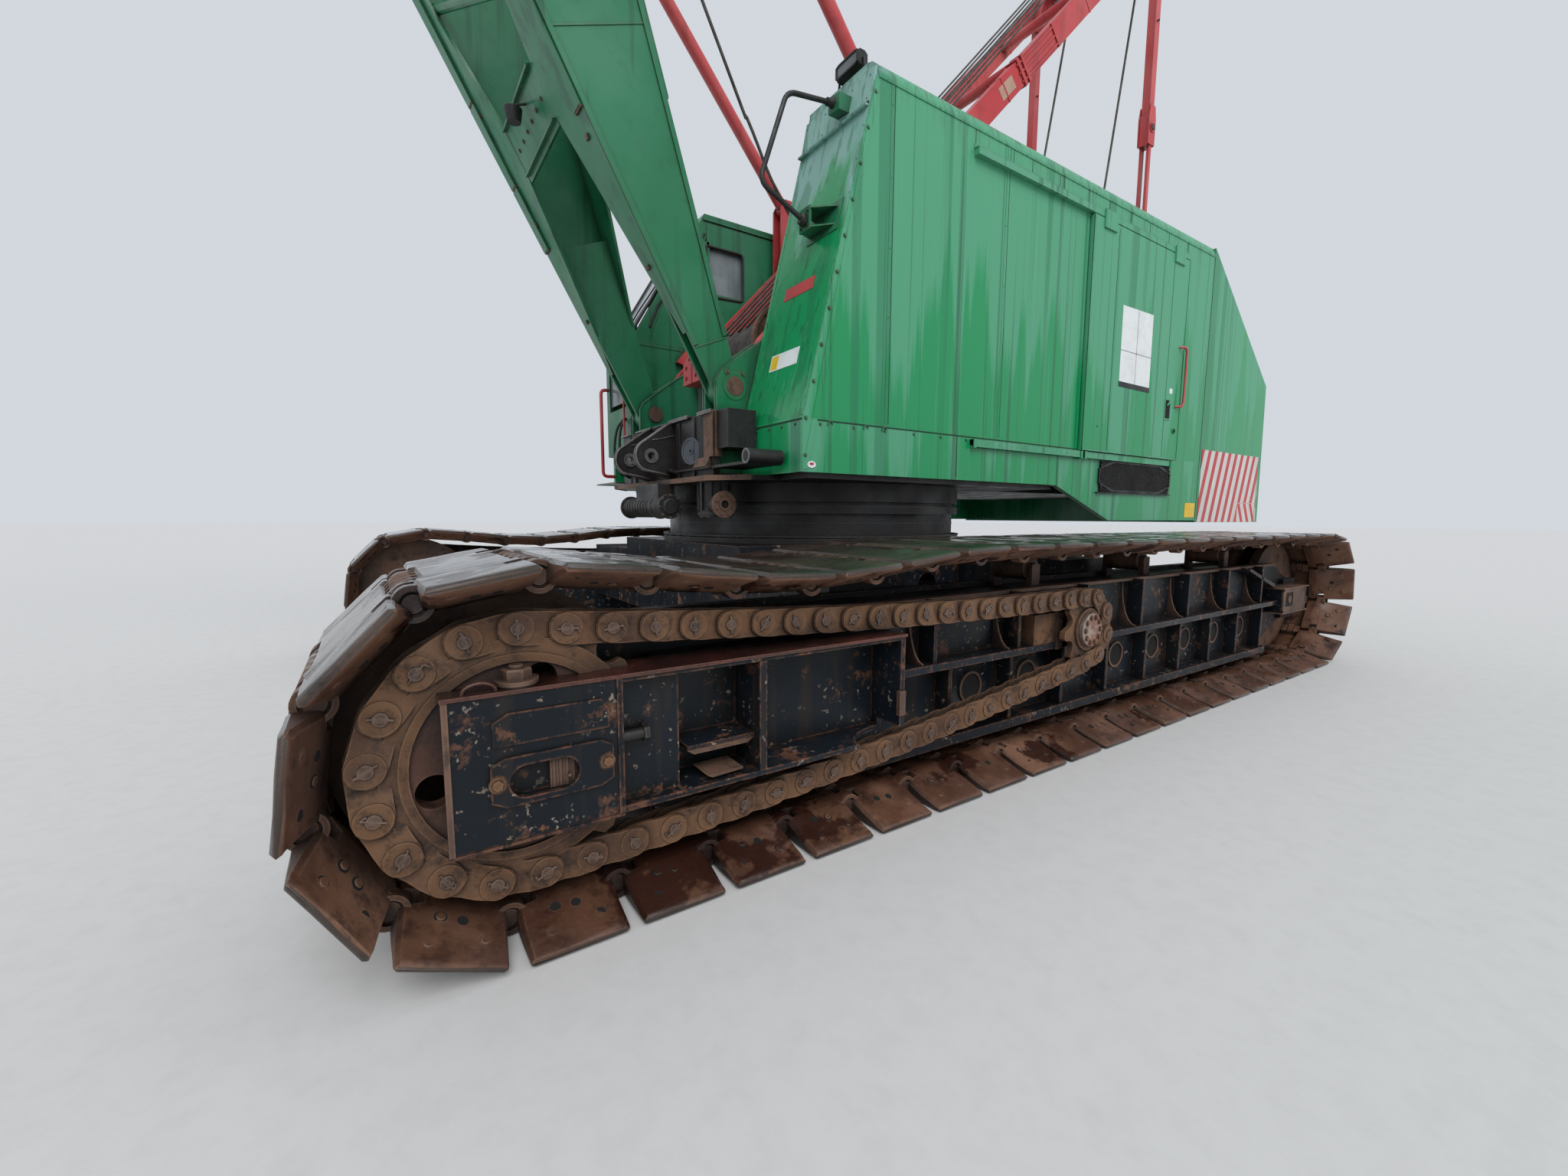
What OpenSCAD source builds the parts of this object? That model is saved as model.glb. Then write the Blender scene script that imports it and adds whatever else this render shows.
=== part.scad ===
// Crawler crane with a lattice boom. Millimetres, +X towards the boom, +Y to the left, +Z up.
// The origin is on the ground under the slewing axis.

/* [Tracks] */
// Width over both tracks
over_tracks = 6100; // [6000:20:6200]
// Width of one track shoe
shoe_w = 1120; // [1040:20:1160]
// Height of the track loop over its shoes
track_h = 1254; // [1240:2:1262]
// X of the front drum's axle
drum_x = 3240; // [3200:10:3260]
// X of the rear drum's axle
idler_x = -3860; // [-3900:10:-3820]
// Number of shoes in one track
shoe_count = 49; // [48:1:52]
// How far the shoes have moved along their loop
shoe_shift = 268; // [0:4:360]
// Thickness of a shoe's plate
shoe_t = 50; // [44:2:56]
// How far a shoe's hinge lug stands inside the pin line
lug_h = 45; // [36:1:50]
// How far the upper run sags behind the front drum
track_sag = 85; // [40:5:90]
// Radius of a lower roller
roller_r = 125; // [110:5:130]
// Number of lower rollers on one side
roller_count = 11; // [8:1:12]

/* [Drive chain] */
// Links in one drive chain
link_count = 56; // [50:2:60]
// How far the links have moved along their loop
chain_shift = 32; // [0:2:148]
// Radius of the chain's pin line on the large sprocket
big_sprocket_r = 410; // [400:5:425]
// Radius of the chain's pin line on the small sprocket
small_sprocket_r = 200; // [180:5:215]
// Height of a link's plate
link_h = 112; // [104:2:116]
// Width of the chain
chain_w = 90; // [70:5:96]
// Height of the small sprocket's shaft
chain_shaft_z = 710; // [690:5:730]
// How far the upper run of the chain sags
chain_sag_top = 40; // [20:5:45]
// How far the lower run of the chain sags
chain_sag_low = 50; // [20:5:60]

/* [Undercarriage] */
// Thickness of a side frame's web
web_t = 70; // [50:5:80]
// Width between the webs of a side frame
frame_gap = 340; // [320:10:360]
// Thickness of the chain guard's bearing plate
bracket_t = 60; // [50:5:65]
// Height of the carbody's top
carbody_top = 1175; // [1150:5:1190]
// Height of the carbody's beams
beam_h = 560; // [500:10:600]
// Radius of the slewing base
base_r = 1350; // [1300:10:1380]
// Top of the slewing base
base_top = 1500; // [1480:5:1520]

/* [Upperworks] */
// Width over the house
house_w = 3286; // [3200:10:3340]
// Thickness of the house panels
panel_t = 50; // [40:2:60]
// Height of the roof's edge
roof_z = 4326; // [4250:10:4380]
// Radius of the roof's rounded edge
roof_edge_r = 140; // [110:5:160]
// X of the house's front face at its foot
front_x = 1262; // [1230:4:1280]
// X of the house's front face at the roof
front_top_x = 670; // [630:10:700]
// X of the roof's rear end
roof_rear_x = -4285; // [-4320:5:-4260]
// X of the counterweight's rear face at its foot
tail_x = -6050; // [-6100:10:-5900]
// Height of the knee in the rear face
knee_z = 3050; // [2950:10:3150]
// Underside of the counterweight
tail_z = 1340; // [1330:5:1380]
// Underside of the house panels in front
skirt_z = 1674; // [1650:4:1690]
// Inner face of the machinery compartment beside the boom
inner_y = 875; // [872:1:890]
// Inner face of the cab beside the boom
cab_y = 950; // [930:5:980]

/* [House door] */
// X of the door's front edge
door_x1 = -1830; // [-1900:10:-1800]
// X of the door's rear edge
door_x0 = -3640; // [-3680:10:-3600]
// Height of the door's foot
door_z0 = 2000; // [1980:10:2060]
// Height of the door's top
door_z1 = 4030; // [3950:10:4040]
// Thickness of the door
door_t = 40; // [30:2:50]

/* [Boom] */
// X of the boom's foot pins
foot_x = 1320; // [1310:2:1330]
// Height of the boom's foot pins
foot_z = 2330; // [2320:2:2350]
// Angle of the boom above level, as it stands
boom_angle = 67; // [60:1:70]
// Length of the boom from foot pin to tip
boom_len = 18300; // [17000:100:19000]
// Length of the boom's lower section
butt_len = 7600; // [7000:100:8000]
// Width over the boom
boom_w = 1660; // [1640:4:1664]
// Depth of the boom where its two sections meet
boom_d = 1830; // [1700:10:1900]
// Side of a chord's section
chord = 100; // [80:5:110]
// Radius of a lacing tube
lacing_r = 36; // [28:2:44]
// Radius of the foot pins
foot_pin_r = 70; // [60:2:80]

/* [Gantry] */
// X of the gantry's top shaft
apex_x = -4420; // [-4450:10:-4390]
// Height of the gantry's top shaft
apex_z = 8300; // [8200:50:8400]
// X of the gantry's front foot
leg_foot_x = 950; // [930:5:970]
// Height of the gantry's front foot
leg_foot_z = 2680; // [2660:5:2700]
// Depth of a gantry leg
leg_d = 217; // [190:5:230]
// Outer face of a gantry leg
leg_y = 800; // [795:1:805]
// Thickness of a gantry leg across
leg_t = 100; // [80:5:110]
// Radius of the head sheaves
head_sheave_r = 280; // [240:10:300]

/* [Hidden] */

// Colours of the paint, the bare steel and the glass
green = [0.08, 0.40, 0.22];
red = [0.68, 0.10, 0.12];
navy = [0.05, 0.07, 0.12];
black = [0.05, 0.05, 0.055];
rust = [0.27, 0.17, 0.12];
rope_grey = [0.20, 0.19, 0.18];

// Running gap at faces that nearly touch, and gap between moving pieces
seat_gap = 0.3;
move_gap = 6;
pin_gap = 0.05;

// Track loop: the pin line runs on circles about the two drums
track_y = over_tracks / 2 - shoe_w / 2;
shoe_in = shoe_t - 12;
shoe_out = 62;
pin_r = track_h / 2 - shoe_out;
axle_z = track_h / 2;
run_l = drum_x - idler_x;
loop_l = 2 * run_l + 2 * PI * pin_r;
sag_span = 2200;
drum_r = pin_r - lug_h - seat_gap;

// Side frame planes, measured from the machine's middle
frame_y = track_y - 70;
web_in0 = frame_y - frame_gap / 2 - web_t;
web_in1 = frame_y - frame_gap / 2;
web_out0 = frame_y + frame_gap / 2;
web_out1 = web_out0 + web_t;
frame_top = 960;
frame_low = 170;

// Chain planes and run
chain_y = over_tracks / 2 - 190;
bracket_y = over_tracks / 2 - 65;
bracket_in = bracket_y - bracket_t;
bracket_z0 = 392;
bracket_z1 = 858;
bracket_x0 = drum_x - 1595;
bracket_x1 = drum_x + 220;
chain_end_l = PI * (big_sprocket_r + small_sprocket_r);
chain_l = 2 * drum_x + chain_end_l;
// Largest disc that clears the flat inner sides of the links on a pin circle
function inside_links(r) = r * cos(chain_l / link_count / r * 90 / PI) - link_h / 2 - seat_gap;

// House planes
wall_y = house_w / 2;
deck_z0 = 1640;
deck_z1 = 1700;
frame_rear_x = roof_rear_x;
lean = (front_x - front_top_x) / (roof_z - skirt_z);
slot_x = -1000;
belly_x0 = -1530;
belly_x1 = -2440;
tail_low_z = 1360;
knee_x = tail_x + 80;
roof_top = roof_z + 50;
edge_low = roof_top - roof_edge_r - seat_gap;

// Middle of the hoist drum
drum_mid = [620, 2780];

// Boom foot lugs
lug_t = 30;
lug_out = inner_y - 7;
boom_side = boom_w / 2;
foot_w = 140;
lug_in = boom_side - foot_w - 8;

// Boom's own frame: x along its middle line, z towards its rear face
taper_front = 6.0;
taper_rear = 6.1;
foot_front = 150;
foot_rear = 60;
function front_z(t) = -(foot_front + t * tan(taper_front));
function rear_z(t) = foot_rear + t * tan(taper_rear);
tip_front = -420;
tip_rear = 300;
function boom_pt(t, z) = [foot_x + t * cos(boom_angle) - z * sin(boom_angle),
    foot_z + t * sin(boom_angle) + z * cos(boom_angle)];

// Gantry
leg_angle = atan2(apex_z - leg_foot_z, leg_foot_x - apex_x);
leg_l = norm([apex_x - leg_foot_x, apex_z - leg_foot_z]);

// Pendants run from the boom's tip towards the gantry's top
pendant_t = boom_len - 150;
pendant_z = 330;
pendant_from = boom_pt(pendant_t, pendant_z);
pendant_v = [apex_x, apex_z] - pendant_from;
pendant_angle = atan2(pendant_v[1], pendant_v[0]);
falls_l = 4300;
bridle_gap = 420;
rope_r = 11;
block_sheave_r = 205;
pendant_l = norm(pendant_v) - falls_l - bridle_gap;
pendant_y = 560;

// Backstops run from brackets on the gantry's legs to the boom's rear chords
stop_low = [-200, 4570];
stop_t = 5458;
stop_off = 300;
stop_up = boom_pt(stop_t, rear_z(stop_t) + stop_off);
stop_v = stop_up - stop_low;
stop_l = norm(stop_v);
stop_angle = atan2(stop_v[1], stop_v[0]);
stop_y = 780;
stop_r = 57.5;
stop_rod_r = 38;
stop_tube_l = 3400;
stop_rod_l = 3200;
stop_ear = 60;
boom_ear = 46;
stop_pin_r = 28;

// Helpers

// A flat X-Z shape as a solid between two Y planes
module slab(y0, y1) {
    translate([0, y1, 0]) rotate([90, 0, 0]) linear_extrude(y1 - y0) children();
}

// A box between two corners
module box(a, b) {
    translate(a) cube(b - a);
}

// A cylinder along Y between two Y planes
module disc(x, z, r, y0, y1, fn = 48) {
    translate([x, y1, z]) rotate([90, 0, 0]) cylinder(r = r, h = y1 - y0, $fn = fn);
}

// The right-hand copy of a left-hand piece
module on_side(s) {
    if (s > 0) children();
    else mirror([0, 1, 0]) children();
}

// A straight tube between two points
module tube(p, q, r, fn = 12) {
    d = q - p;
    translate(p) rotate([0, acos(d[2] / norm(d)), atan2(d[1], d[0])])
        cylinder(r = r, h = norm(d), $fn = fn);
}

// A square bar between two points, with its sides kept along Y
module bar(p, q, w, h) {
    d = q - p;
    translate(p) rotate([0, 0, atan2(d[1], d[0])])
        rotate([0, -atan2(d[2], norm([d[0], d[1]])), 0])
            translate([0, -w / 2, -h / 2]) cube([norm(d), w, h]);
}

// Outline of a loop of like links: every link repeats the profile's points, given as
// [share of the half pitch along the link, distance outwards from the pin line]
function loop_outline(pins, profile) = [
    for (i = [0:len(pins) - 1])
        let (a = pins[i], b = pins[(i + 1) % len(pins)], d = b - a, l = norm(d), t = d / l)
        for (q = profile) (a + b) / 2 + t * q[0] * l / 2 + [t[1], -t[0]] * q[1]];

// Pin line of the track at length s from the rear drum's foot
function sag_at(x, from_x, span, depth) =
    x > from_x - span && x < from_x ? depth * pow(sin(180 * (from_x - x) / span), 2) : 0;
// A shoe stays flat on the ground until its pin has risen by 10 mm
function on_ground(z) = z < shoe_out + 10 ? shoe_out : z;
function track_pin(s) =
    let (arc_l = PI * pin_r)
    s < run_l ? [idler_x + s, shoe_out]
    : s < run_l + arc_l
        ? let (a = 180 * (s - run_l) / arc_l)
            [drum_x + pin_r * sin(a), on_ground(axle_z - pin_r * cos(a))]
    : s < 2 * run_l + arc_l
        ? let (x = drum_x - (s - run_l - arc_l))
            [x, axle_z + pin_r - sag_at(x, drum_x, sag_span, track_sag)]
    : let (a = 180 * (s - 2 * run_l - arc_l) / arc_l)
        [idler_x - pin_r * sin(a), on_ground(axle_z + pin_r * cos(a))];

// Pin line of the drive chain at length s from the small sprocket's foot
function chain_pin(s) =
    let (big_l = PI * big_sprocket_r)
    s < drum_x
        ? let (u = s / drum_x)
            [s, (1 - u) * (chain_shaft_z - small_sprocket_r) + u * (axle_z - big_sprocket_r)
                - 4 * chain_sag_low * u * (1 - u)]
    : s < drum_x + big_l
        ? let (a = 180 * (s - drum_x) / big_l)
            [drum_x + big_sprocket_r * sin(a), axle_z - big_sprocket_r * cos(a)]
    : s < 2 * drum_x + big_l
        ? let (u = (s - drum_x - big_l) / drum_x)
            [drum_x * (1 - u), (1 - u) * (axle_z + big_sprocket_r)
                + u * (chain_shaft_z + small_sprocket_r) - 4 * chain_sag_top * u * (1 - u)]
    : let (a = (s - 2 * drum_x - big_l) / small_sprocket_r * 180 / PI)
        [-small_sprocket_r * sin(a), chain_shaft_z + small_sprocket_r * cos(a)];

// Undercarriage

module carbody() color(navy) difference() {
    union() {
        box([-1450, -1150, carbody_top - 115], [1450, 1150, carbody_top]);
        for (x = [-1450, 850])
            box([x, -web_in0, carbody_top - 115 - beam_h], [x + 600, web_in0, carbody_top - 115]);
        for (y = [-1150, 850])
            box([-850, y, carbody_top - 115 - beam_h], [850, y + 300, carbody_top - 115]);
    }
    // Round openings through the cross beams and the two inner walls
    for (y = [-1700, 1700])
        translate([-1500, y, carbody_top - 115 - beam_h / 2]) rotate([0, 90, 0])
            cylinder(r = 110, h = 3000, $fn = 32);
    for (x = [-450, 450]) disc(x, carbody_top - 115 - beam_h / 2, 120, -1200, 1200, 32);
}

module slewing_base() color(black) difference() {
    union() {
        translate([0, 0, carbody_top]) cylinder(r = base_r, h = base_top - carbody_top, $fn = 96);
        translate([0, 0, carbody_top]) cylinder(r = base_r + 60, h = 40, $fn = 96);
        translate([0, 0, base_top - 90]) cylinder(r = base_r + 45, h = 50, $fn = 96);
    }
    translate([0, 0, carbody_top - 1])
        cylinder(r = base_r - 200, h = base_top - carbody_top + 2, $fn = 96);
}

module web_outline() polygon([[idler_x - 150, 500], [idler_x - 150, 760], [-3500, frame_top],
    [2900, frame_top], [drum_x + 160, 740], [drum_x + 160, 500], [2900, 300], [2600, frame_low],
    [-3200, frame_low], [-3500, 300]]);

module side_frame(s) color(navy) on_side(s) difference() {
    union() {
        slab(web_in0, web_in1) web_outline();
        slab(web_out0, web_out1) web_outline();
        box([-3250, web_in1, 400], [2620, web_out0, frame_top - 30]);
        // Ledges along the outer web
        box([-3300, web_out1, 600], [1600, web_out1 + 130, 630]);
        box([-3150, web_out1, frame_low], [2500, web_out1 + 110, frame_low + 45]);
        for (x = [-3100:520:1100]) box([x, web_out1, 215], [x + 25, web_out1 + 95, 600]);
        for (x = [-3000:700:1500]) box([x, web_out1, 630], [x + 25, web_out1 + 110, frame_top]);
        // Bearing housing of the rear drum
        box([idler_x - 40, web_out1, 520], [idler_x + 560, web_out1 + 170, 740]);
    }
    for (x = [-2840:520:1300]) disc(x, 420, 80, web_out0 + 10, web_out1 + 5, 32);
}

module chain_bracket(s) color(navy) on_side(s) {
    split_x = drum_x - 295;
    stiff_x = drum_x - 860;
    recess_y = bracket_y - 190;
    difference() {
        union() {
            box([split_x - 20, bracket_in, bracket_z0], [bracket_x1, bracket_y, bracket_z1]);
            box([bracket_x0, web_out1, bracket_z0], [drum_x - 500, bracket_in + 1, bracket_z1]);
            box([bracket_x0, bracket_in, bracket_z0], [split_x - 20, bracket_y, bracket_z1]);
        }
        // Recess behind the bearing plate, split by a stiffener, and shallow beside the sprocket
        for (x = [[bracket_x0 + 25, stiff_x], [stiff_x + 28, drum_x - 520]])
            box([x[0], recess_y, bracket_z0 + 22], [x[1], bracket_y + 5, bracket_z1 - 16]);
        box([drum_x - 521, bracket_y - 46, bracket_z0 + 22], [split_x, bracket_y + 5, bracket_z1 - 16]);
        // Rear corner of the lower flange, cut to a curve
        translate([0, 0, bracket_z0 - 5]) linear_extrude(60) polygon([[bracket_x0 - 5, bracket_y - 150],
            for (a = [0:15:90]) [bracket_x0 - 5 + 265 * sin(a), bracket_y - 150 * cos(a)],
            [bracket_x0 + 260, bracket_y + 5], [bracket_x0 - 5, bracket_y + 5]]);
        // Slotted window in the bearing plate
        slab(bracket_y - 30, bracket_y + 5) hull() for (x = [drum_x - 101, drum_x + 3])
            translate([x, axle_z - 45]) circle(r = 51, $fn = 24);
    }
    // Shelf in the recess
    box([stiff_x + 27, recess_y - 10, 540], [stiff_x + 310, bracket_y - 40, 555]);
}

track_pins = [for (i = [0:shoe_count - 1]) track_pin(i * loop_l / shoe_count + shoe_shift)];

module track(s) color(rust) on_side(s) slab(track_y - shoe_w / 2, track_y + shoe_w / 2)
    difference() {
        polygon(loop_outline(track_pins, [[-0.93, shoe_out], [0.93, shoe_out], [1, 20]]));
        polygon(loop_outline(track_pins, [[-0.7, 12], [0.7, 12], [1, -lug_h]]));
    }

module drum(s, x) color(rust) on_side(s) {
    disc(x, axle_z, 200, web_in1, web_out0);
    for (y = [web_in1 + 25, web_out0 - 95]) disc(x, axle_z, drum_r, y, y + 70, 64);
}

module rollers(s) color(rust) on_side(s) {
    low_z = shoe_out + lug_h + seat_gap + roller_r;
    for (i = [0:roller_count - 1])
        disc(-3050 + i * 5450 / (roller_count - 1), low_z, roller_r, web_in1, web_out0, 32);
    // Carrier rollers on pedestals
    top_r = 80;
    for (x = [-2700, -1300, 100]) {
        disc(x, track_h - shoe_out - lug_h - seat_gap - top_r, top_r, frame_y - 120, frame_y + 120, 32);
        box([x - 40, frame_y - 160, frame_top - 30], [x + 40, frame_y - 121, 1090]);
        box([x - 40, frame_y + 121, frame_top - 30], [x + 40, frame_y + 160, 1090]);
        disc(x, track_h - shoe_out - lug_h - seat_gap - top_r, 30, frame_y - 160, frame_y + 160, 24);
    }
}

module drive_sprocket(s) color(rust) on_side(s) {
    difference() {
        disc(drum_x, axle_z, inside_links(big_sprocket_r), chain_y - 30, chain_y + 30, 72);
        for (a = [-14:120:226])
            disc(drum_x + 250 * cos(a), axle_z + 250 * sin(a), 52, chain_y - 40, chain_y + 40, 24);
    }
    disc(drum_x, axle_z, 120, web_out1, chain_y);
    disc(drum_x, axle_z, 120, chain_y, bracket_in);
}

chain_pins = [for (i = [0:link_count - 1]) chain_pin(i * chain_l / link_count + chain_shift)];

module drive_chain(s) color(rust) on_side(s) slab(chain_y - chain_w / 2, chain_y + chain_w / 2)
    difference() {
        polygon(loop_outline(chain_pins, [[-0.45, link_h / 2], [0.45, link_h / 2], [1, link_h / 2 - 12]]));
        polygon(loop_outline(chain_pins, [[-0.45, -link_h / 2], [0.45, -link_h / 2], [1, 12 - link_h / 2]]));
    }

module small_sprockets() color(rust) for (s = [1, -1]) on_side(s) {
    disc(0, chain_shaft_z, inside_links(small_sprocket_r), chain_y - 30, chain_y + 30);
    disc(0, chain_shaft_z, 70, web_out1 + seat_gap, chain_y + 45);
}

// Upperworks

// Plate that carries the boom's foot and the gantry's foot
module foot_lug_outline() difference() {
    union() {
        polygon([[1470, deck_z1 + seat_gap], [1470, 2360], [1440, 2420], [1300, 2530], [1080, 2690],
            [900, 2790], [500, 2790], [-740, deck_z1 + seat_gap]]);
        translate([drum_mid[0], drum_mid[1]]) circle(r = 120, $fn = 48);
    }
    translate([foot_x, foot_z]) circle(r = foot_pin_r + pin_gap, $fn = 64);
    translate([leg_foot_x, leg_foot_z]) circle(r = 40 + pin_gap, $fn = 48);
}

module revolving_frame() color(black) {
    translate([0, 0, base_top + seat_gap]) cylinder(r = base_r + 45, h = deck_z0 - base_top, $fn = 96);
    // Deck and its two long girders
    box([belly_x0, -wall_y + panel_t, deck_z0], [1180, wall_y - panel_t, deck_z1]);
    box([frame_rear_x, -1000, deck_z0], [belly_x0, 1000, deck_z1]);
    box([1180, -lug_out, deck_z0], [1480, lug_out, deck_z1]);
    for (s = [1, -1]) on_side(s) {
        box([frame_rear_x, 640, deck_z1], [-750, 860, 2000]);
        // Post that holds the gantry's rear strap
        box([-4375, 755.3, deck_z1], [-4265, 804.7, roof_z + 94]);
    }
}

module foot_lugs() color(green) for (s = [1, -1]) on_side(s) {
    slab(lug_out - lug_t, lug_out) foot_lug_outline();
    slab(lug_in - lug_t, lug_in) foot_lug_outline();
}

module foot_pins() color(rust) for (s = [1, -1]) on_side(s) {
    disc(foot_x, foot_z, foot_pin_r, lug_in - lug_t - 15, lug_out + 4, 64);
    disc(leg_foot_x, leg_foot_z, 40, lug_in - lug_t - 15, lug_out + 4, 48);
}

nose_x = 1480 + seat_gap;
nose_front = 1530;
hitch_y = 235;
nose_half = [[nose_x, lug_out + seat_gap], [1180 + seat_gap, lug_out + seat_gap],
    [1180 + seat_gap, 1250], [1400, 1250], [1610, 960]];
module nose_frame() color(black) {
    // Deck plate with a raised outer step on each side
    translate([0, 0, deck_z0]) linear_extrude(30)
        polygon([for (p = nose_half) [p[0], -p[1]], for (i = [len(nose_half) - 1:-1:0]) nose_half[i]]);
    box([nose_x, -750, deck_z0 + 20], [nose_front, 750, 2130]);
    // Small box at the left post, and the step plate whose outer end is rolled up
    box([1280, lug_out + seat_gap, 1865], [nose_front - 20, 1100, 2130]);
    box([nose_front - 20, 350, 1725], [1580, 940, 1740]);
    box([1290, 939, 1725], [1560, 1420, 1740]);
    translate([1290, 1430, 1775]) rotate([0, 90, 0]) cylinder(r = 50, h = 270, $fn = 48);
    for (s = [1, -1]) on_side(s) {
        box([nose_x, 740, deck_z0 + 20], [nose_front + 5, 930, 2125]);
        // Hitch lug with a bore
        slab(hitch_y - 20, hitch_y + 20) difference() {
            hull() {
                translate([1733, 1855]) circle(r = 122, $fn = 32);
                translate([nose_front - 10, 1670]) square([10, 370]);
            }
            translate([1733, 1855]) circle(r = 30, $fn = 48);
        }
    }
    translate([nose_front - 10, 470, 1880]) rotate([0, 90, 0]) cylinder(r = 95, h = 25, $fn = 48);
}

module swing_gear() color(black) {
    translate([1440, 780, 1380]) cylinder(r = 120, h = deck_z0 - seat_gap - 1380, $fn = 48);
    translate([1490, 780, 1470]) rotate([90, 0, 180]) cylinder(r = 60, h = 215, $fn = 48);
    translate([1490, 975, 1470]) rotate([90, 0, 180]) cylinder(r = 94, h = 28, $fn = 48);
    disc(1640, 1460, 83, -470, 201);
    disc(1640, 1460, 92, 200, 390);
    box([1570, -150, 1510], [1710, 320, deck_z0 - seat_gap]);
}

// Side outline of the house in front of the counterweight
module side_outline() polygon([[front_x, skirt_z], [front_x - lean * (edge_low - skirt_z), edge_low],
    [roof_rear_x, edge_low], [roof_rear_x, tail_low_z], [belly_x1, tail_low_z], [belly_x0, skirt_z]]);

module house_left() color(green) slab(wall_y - panel_t, wall_y) difference() {
    side_outline();
    translate([door_x0 + 40, door_z0 + 40])
        square([door_x1 - door_x0 - 80, door_z1 - door_z0 - 80]);
    translate([-3600, 1630]) square([1380, 310]);
}

module door_rail() color(green) {
    box([door_x0, wall_y + seat_gap, door_z1 + 10],
        [-280, wall_y + move_gap + door_t - 1 - seat_gap, door_z1 + 60]);
}

// A panel that leans back with the house's front face, between two Y planes
module leaning_panel(y0, y1, z0, z1) slab(y0, y1) polygon([
    [front_x - lean * (z0 - skirt_z), z0], [front_x - lean * (z1 - skirt_z), z1],
    [front_x - lean * (z1 - skirt_z) - panel_t, z1], [front_x - lean * (z0 - skirt_z) - panel_t, z0]]);

module house_front_left() color(green) {
    leaning_panel(inner_y, wall_y - panel_t, deck_z1, roof_z);
    // Inner wall of the compartment beside the boom, and the wall behind the boom's slot
    slab(inner_y, inner_y + panel_t) polygon([[front_x - panel_t - 20, deck_z1],
        [front_top_x - panel_t, roof_z], [slot_x, roof_z], [slot_x, deck_z1]]);
    box([slot_x, -cab_y, 2800], [slot_x + panel_t, inner_y, roof_z]);
}

module house_right() color(green) {
    slab(-wall_y, -wall_y + panel_t) polygon([[-310, skirt_z], [-310, edge_low], [roof_rear_x, edge_low],
        [roof_rear_x, tail_low_z], [belly_x1, tail_low_z], [belly_x0, skirt_z]]);
    box([-360, -wall_y + panel_t - 1, deck_z1], [-310, -cab_y, edge_low]);
    box([-360, -wall_y + panel_t, edge_low - 1], [-310, -cab_y, roof_z]);
    box([slot_x, -cab_y - panel_t, deck_z1], [-311, -cab_y, roof_z]);
    // Ledge that carries the cab
    box([-309, -wall_y + panel_t - 1, deck_z1], [1180, -cab_y - 1, deck_z1 + 60]);
    box([-309, -cab_y - 60, deck_z1 + 59], [1180, -cab_y - 10, cab_z0 - seat_gap]);
    box([-330, -wall_y, skirt_z], [1400, -wall_y + panel_t, cab_z0 - seat_gap]);
}

// Half of the roof's section, from the middle outwards, with the rounded edge
roof_half = [[0, roof_top], for (a = [90:-6:0]) [wall_y, roof_top] + roof_edge_r * [cos(a) - 1, sin(a) - 1],
    [wall_y - panel_t + seat_gap, edge_low + seat_gap],
    [wall_y - panel_t + seat_gap, roof_z + seat_gap], [0, roof_z + seat_gap]];

module house_roof() color(green) difference() {
    translate([roof_rear_x, 0, 0]) rotate([90, 0, 90]) linear_extrude(front_top_x - roof_rear_x)
        for (m = [0, 1]) mirror([m, 0]) polygon(roof_half);
    // Open space for the boom's foot, and for the cab
    box([slot_x + panel_t, -cab_y, edge_low - 5], [front_top_x + 5, inner_y, roof_top + 5]);
    box([-310, -wall_y - 5, edge_low - 5], [front_top_x + 5, 1 - cab_y, roof_top + 5]);
    // Slots for the straps' posts and for the ropes
    for (s = [1, -1]) on_side(s) box([-4390, 715, roof_z - 5], [-4240, 845, roof_z + 60]);
    box([-3300, -260, roof_z - 5], [-2500, 260, roof_z + 60]);
}

module counterweight() color(green) difference() {
    slab(-wall_y, wall_y) polygon([[roof_rear_x - seat_gap, roof_z], [knee_x, knee_z], [tail_x, tail_z],
        [roof_rear_x - seat_gap, tail_z]]);
    for (s = [1, -1]) on_side(s) box([-4390, 715, deck_z1 - 10], [-4200, 845, roof_z + 60]);
}

module side_grille() color(black) slab(wall_y - panel_t, wall_y + 18) difference() {
    translate([-3600 + seat_gap, 1630 + seat_gap]) square([1380 - 2 * seat_gap, 310 - 2 * seat_gap]);
    for (i = [0:8]) translate([-3560 + i * 150, 1660]) square([100, 250]);
}

module engine() color(black) box([-4100, -900, 2000 + seat_gap], [-2700, 500, 3000]);

module gantry_legs() color(red) {
    for (s = [1, -1]) on_side(s) {
        translate([leg_foot_x, 0, leg_foot_z]) rotate([0, leg_angle - 180, 0]) difference() {
            union() {
                slab(leg_y - leg_t, leg_y) translate([0, -leg_d / 2]) square([leg_l - 60, leg_d]);
                disc(0, 0, leg_d / 2, leg_y - leg_t, leg_y);
            }
            disc(0, 0, 40 + pin_gap, leg_y - leg_t - 1, leg_y + 1);
        }
        // Ears and pin that hold the lower eye of the backstop
        for (y = [stop_y - stop_ear - 25, stop_y + stop_ear]) slab(y, y + 25) stop_ear_outline();
        disc(stop_low[0], stop_low[1], stop_pin_r, stop_y - stop_ear - 40, stop_y + stop_ear + 40);
    }
    // Cross members between the legs
    for (u = [2600, 4700, 6500]) translate([leg_foot_x, 0, leg_foot_z]) rotate([0, leg_angle - 180, 0])
        disc(u, 0, 55, -leg_y + leg_t, leg_y - leg_t, 24);
}

module stop_ear_outline() polygon([[-270, 4570], [-240, 4640], [-160, 4640], [-120, 4560],
    [-120, 3870], [-560, 4330], [-440, 4420]]);

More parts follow.
